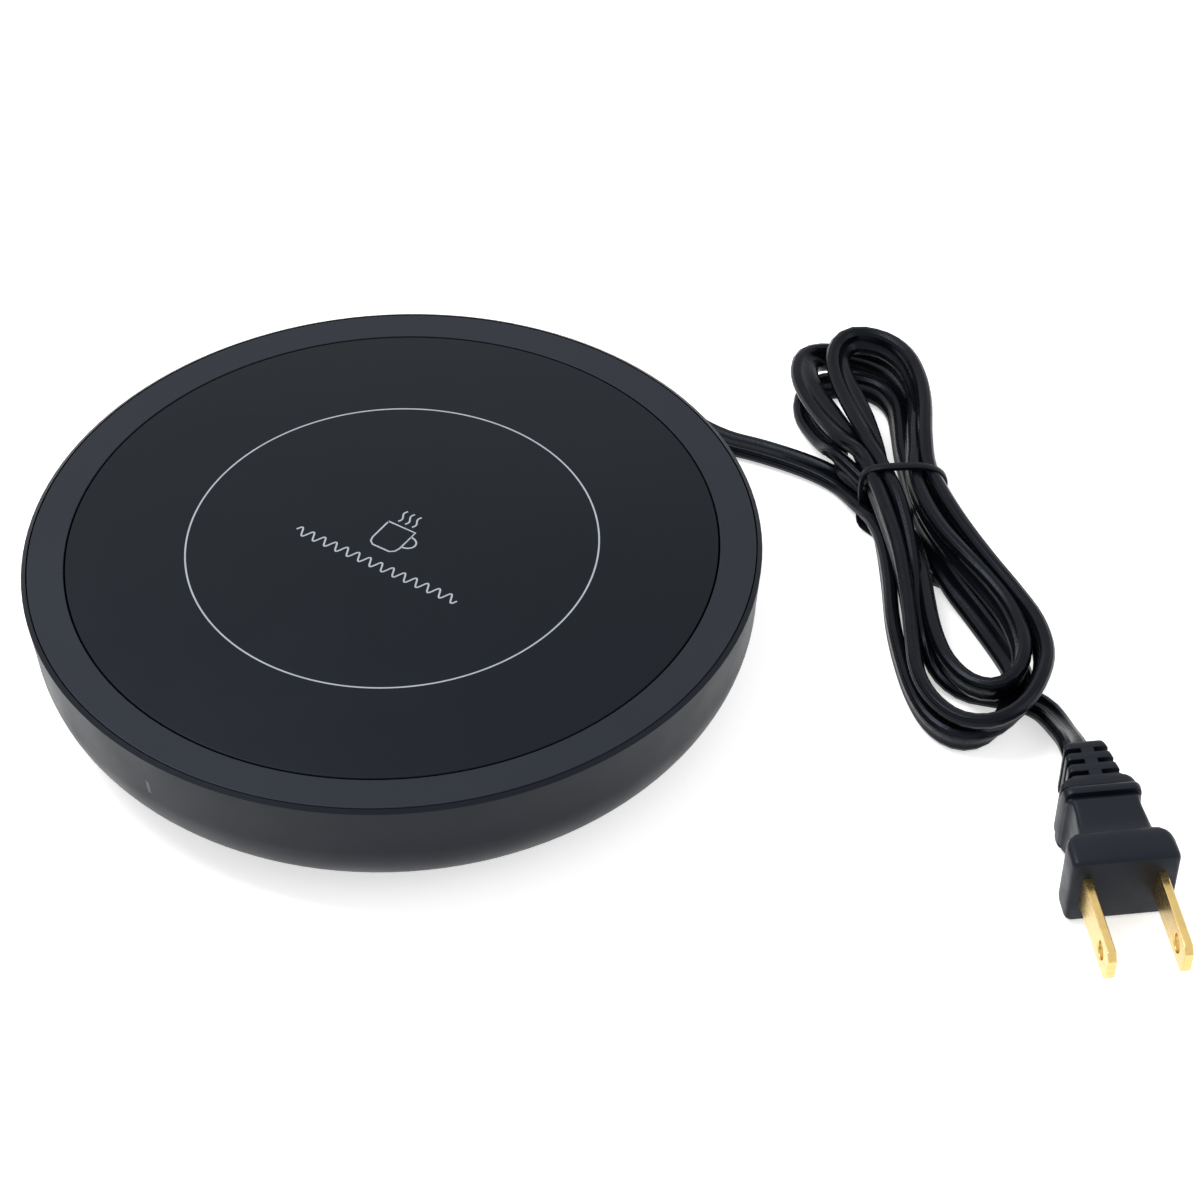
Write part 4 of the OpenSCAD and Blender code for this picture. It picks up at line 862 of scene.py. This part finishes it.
class WARMER_OT_plate(bpy.types.Operator):
    """The glass plate with its polished edge."""

    bl_idname = "warmer.plate"
    bl_label = "Warming plate"

    def execute(self, context):
        sizes = context.scene.warmer_sizes
        edge = sizes.glass_round
        rim = PLATE_R + sizes.glass_spread
        corners = [(0.0, TOP_Z), (rim, TOP_Z), (rim, GLASS_LOW), (0.0, GLASS_LOW)]
        profile = rounded_profile(corners, [0, edge, edge, 0], 5)
        bm = turned(profile, sizes.turn_steps, closed=False)
        piece("glass_disc", bm, "warming_plate", "black_glass", sharp=35, replaces=("glass_plate",))
        return {"FINISHED"}


# ---- Printed marks ----

PRINT_TURN = math.radians(3.7)
PRINT_SUNK = 0.01
LINE_W = 0.32
# The mug's outline round its own middle, its handle, the steam over it and the wavy line below it
MUG_AT = (-0.45, 0.9)
MUG = [
    (-3.3, 3.2), (-3.3, -1.6), (-3.0, -2.6), (-2.2, -3.2), (1.4, -3.2), (2.2, -2.6), (2.5, -1.6), (2.5, 3.2),
    (-3.3, 3.2), (-3.3, 2.9),
]
HANDLE_AT, HANDLE_OUT, HANDLE_UP = (2.5, 0.4), 1.9, 1.5
STEAM_X, STEAM_LOW, STEAM_H, STEAM_SWAY = (-1.9, -0.4, 1.1), 4.1, 3.0, 0.3
WAVE_START, WAVE_L, WAVE_SWAY, WAVES = (-16.3, -6.3), 34.6, 0.95, 14


def wavy(length, sway, waves, steps):
    """Points (along, across) of a wavy line."""
    return [(length * k / steps, sway * math.sin(math.tau * waves * k / steps)) for k in range(steps + 1)]


def printed(name, lines, at, low, high):
    """Lines of even width, printed on the plate as one piece."""
    bm = bmesh.new()
    w, h = LINE_W / 2, (high - low) / 2
    for line in lines:
        path = [(Vector((x, y, low + h)), FLAT) for x, y in line]
        join(bm, swept(path, [(-w, -h), (w, -h), (w, h), (-w, h)]))
    turn = Matrix.Rotation(PRINT_TURN, 4, "Z") @ Matrix.Translation((at[0] * MM, at[1] * MM, 0))
    bmesh.ops.transform(bm, matrix=turn, verts=bm.verts)
    piece(name, bm, "warming_plate", "print_ink", sharp=30)


class WARMER_OT_marks(bpy.types.Operator):
    """The printed ring, a plain mug with steam and a plain wavy line."""

    bl_idname = "warmer.marks"
    bl_label = "Printed marks"

    def execute(self, context):
        sizes = context.scene.warmer_sizes
        low, high = TOP_Z - PRINT_SUNK, TOP_Z + sizes.print_height
        near, far = sizes.ring_radius - sizes.ring_width / 2, sizes.ring_radius + sizes.ring_width / 2
        ring = turned([(near, low), (far, low), (far, high), (near, high)], sizes.turn_steps)
        piece("printed_ring", ring, "warming_plate", "print_ink", sharp=30)
        turns = [math.radians(a) for a in range(0, 181, 12)]
        x, y = HANDLE_AT
        handle = [(x + HANDLE_OUT * math.sin(a), y + HANDLE_UP * math.cos(a)) for a in turns]
        steam = [
            [(x + across, STEAM_LOW + along) for along, across in wavy(STEAM_H, STEAM_SWAY, 1, 18)]
            for x in STEAM_X
        ]
        printed("printed_mug", [MUG, handle, *steam], MUG_AT, low, high)
        printed("printed_row", [wavy(WAVE_L, WAVE_SWAY, WAVES, 336)], WAVE_START, low, high)
        return {"FINISHED"}


# ---- Inside ----


class WARMER_OT_inside(bpy.types.Operator):
    """The pieces inside: finishes for all, merged copies of the springs that ride on the housing, and merged
    copies of the wires.
    """

    bl_idname = "warmer.inside"
    bl_label = "Inside"

    def execute(self, context):
        for entry in frame["record"]["subparts"]:
            node = frame["nodes"][entry["node"]]
            for slot in node.material_slots:
                slot.material = material_for(entry["material_slot"])
        bm = merged_copy("return_springs")
        springs = piece("springs", bm, "housing", "spring_steel", sharp=50, replaces=("return_springs",))
        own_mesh(springs)
        wires = object_of("moving_wires", merged_copy("plate_wires"), material_for("grey_insulation"))
        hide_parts("plate_wires")
        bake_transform(wires)
        return {"FINISHED"}


# ---- Stage ----

CAMERA_AT = (0.29515, -0.32252, 0.42069)
# In degrees
CAMERA_BEARING, CAMERA_TILT, CAMERA_ROLL = 37.7, 43.301, -1.047
# Lamps: place, what it points at, size
KEY = ((-0.45, -0.1, 0.95), (0.0, 0.02, 0.0), 0.5)
FILL = ((0.95, 0.35, 0.6), (0.02, 0.0, 0.01), 0.7)
FLOOR_SIZE = 4.0
# The floor lies just under the feet, so that their faces don't share its plane
FLOOR_Z = -0.05 * MM
FLOOR_GLOW = 0.55


class WARMER_OT_stage(bpy.types.Operator):
    """Camera, floor, world and lamps."""

    bl_idname = "warmer.stage"
    bl_label = "Stage"

    def execute(self, context):
        stage = context.scene.warmer_stage
        scene = context.scene
        scene.view_settings.view_transform = "Standard"
        data = bpy.data.cameras.new("camera")
        data.sensor_width = 36
        data.sensor_fit = "HORIZONTAL"
        data.lens = stage.lens
        data.clip_start = 0.02
        camera = bpy.data.objects.new("camera", data)
        scene.collection.objects.link(camera)
        camera.matrix_world = Matrix.Translation(CAMERA_AT) @ camera_turn()
        scene.camera = camera

        bm = bmesh.new()
        place = Matrix.Translation((0, 0, FLOOR_Z))
        bmesh.ops.create_grid(bm, x_segments=8, y_segments=8, size=FLOOR_SIZE, matrix=place)
        floor = object_of("floor", bm, floor_material(stage.floor_tone))

        world = bpy.data.worlds.new("surround")
        scene.world = world
        world.use_nodes = True
        world_light(world.node_tree, stage.ambient)

        add_lamp("key", *KEY, stage.key_power)
        add_lamp("fill", *FILL, stage.fill_power)
        return {"FINISHED"}


def add_lamp(name, at, target, size, power):
    """A square lamp that points at its target."""
    data = bpy.data.lights.new(name, "AREA")
    data.shape = "SQUARE"
    data.size = size
    data.energy = power
    lamp = bpy.data.objects.new(name, data)
    bpy.context.scene.collection.objects.link(lamp)
    aim = (Vector(target) - Vector(at)).to_track_quat("-Z", "Y")
    lamp.matrix_world = Matrix.Translation(at) @ aim.to_matrix().to_4x4()


def camera_turn():
    """Rotation of the camera from its bearing, its tilt and its roll."""
    bearing, tilt, roll = (math.radians(a) for a in (CAMERA_BEARING, CAMERA_TILT, CAMERA_ROLL))
    level = Vector((-math.sin(bearing), math.cos(bearing), 0))
    forward = level * math.cos(tilt) - Vector((0, 0, math.sin(tilt)))
    right = Vector((math.cos(bearing), math.sin(bearing), 0))
    up = right.cross(forward)
    c, s = math.cos(roll), math.sin(roll)
    x = right * c + up * s
    y = up * c - right * s
    z = -forward
    return Matrix(((x.x, y.x, z.x, 0), (x.y, y.y, z.y, 0), (x.z, y.z, z.z, 0), (0, 0, 0, 1)))


def seen_rays(tree):
    """1 for camera, glossy and transmission rays, else 0."""
    path = tree.nodes.new("ShaderNodeLightPath")
    value = path.outputs["Is Camera Ray"]
    for name in ("Is Glossy Ray", "Is Transmission Ray"):
        either = tree.nodes.new("ShaderNodeMath")
        either.operation = "MAXIMUM"
        tree.links.new(value, either.inputs[0])
        tree.links.new(path.outputs[name], either.inputs[1])
        value = either.outputs[0]
    return value


def world_light(tree, ambient):
    """Soft light all round, and white where the surround itself is seen."""
    tree.nodes.clear()
    out = tree.nodes.new("ShaderNodeOutputWorld")
    soft = shade(tree, "ShaderNodeBackground", Strength=ambient)
    white = shade(tree, "ShaderNodeBackground", Strength=1.0)
    for node in (soft, white):
        node.inputs["Color"].default_value = (1, 1, 1, 1)
    mix = tree.nodes.new("ShaderNodeMixShader")
    tree.links.new(seen_rays(tree), mix.inputs["Fac"])
    tree.links.new(soft.outputs[0], mix.inputs[1])
    tree.links.new(white.outputs[0], mix.inputs[2])
    tree.links.new(mix.outputs[0], out.inputs["Surface"])


def floor_material(tone):
    """A matt floor that takes the shadow, lifted to white where it is seen."""
    material = bpy.data.materials.new("floor")
    material.use_nodes = True
    tree = material.node_tree
    tree.nodes.clear()
    out = tree.nodes.new("ShaderNodeOutputMaterial")
    matt = tree.nodes.new("ShaderNodeBsdfDiffuse")
    matt.inputs["Color"].default_value = (*tone, 1)
    glow = shade(tree, "ShaderNodeEmission", Strength=FLOOR_GLOW)
    glow.inputs["Color"].default_value = (1, 1, 1, 1)
    add = tree.nodes.new("ShaderNodeAddShader")
    tree.links.new(matt.outputs[0], add.inputs[0])
    tree.links.new(glow.outputs[0], add.inputs[1])
    mix = tree.nodes.new("ShaderNodeMixShader")
    tree.links.new(seen_rays(tree), mix.inputs["Fac"])
    tree.links.new(matt.outputs[0], mix.inputs[1])
    tree.links.new(add.outputs[0], mix.inputs[2])
    tree.links.new(mix.outputs[0], out.inputs["Surface"])
    return material


# ---- Panel and registration ----


class WARMER_PT_panel(bpy.types.Panel):
    """Lists the pieces and their sizes and colours."""

    bl_label = "Mug warmer"
    bl_idname = "WARMER_PT_panel"
    bl_space_type = "VIEW_3D"
    bl_region_type = "UI"
    bl_category = "Warmer"

    def draw(self, context):
        layout = self.layout
        scene = context.scene
        for group in (scene.warmer_sizes, scene.warmer_colours, scene.warmer_stage):
            box = layout.box()
            for name in group.__annotations__:
                box.prop(group, name)
        for operator in OPERATORS:
            layout.operator(operator.bl_idname)


OPERATORS = (
    WARMER_OT_stage,
    WARMER_OT_plug,
    WARMER_OT_tie,
    WARMER_OT_cord,
    WARMER_OT_housing,
    WARMER_OT_plate,
    WARMER_OT_marks,
    WARMER_OT_inside,
)
CLASSES = (WarmerSizes, WarmerColours, WarmerStage, *OPERATORS, WARMER_PT_panel)


def register():
    for cls in CLASSES:
        bpy.utils.register_class(cls)
    bpy.types.Scene.warmer_sizes = PointerProperty(type=WarmerSizes)
    bpy.types.Scene.warmer_colours = PointerProperty(type=WarmerColours)
    bpy.types.Scene.warmer_stage = PointerProperty(type=WarmerStage)


def unregister():
    del bpy.types.Scene.warmer_sizes, bpy.types.Scene.warmer_colours, bpy.types.Scene.warmer_stage
    for cls in reversed(CLASSES):
        bpy.utils.unregister_class(cls)


def main():
    register()
    for operator in OPERATORS:
        name = operator.bl_idname.split(".")[1]
        getattr(bpy.ops.warmer, name)()


if __name__ == "__main__":
    main()
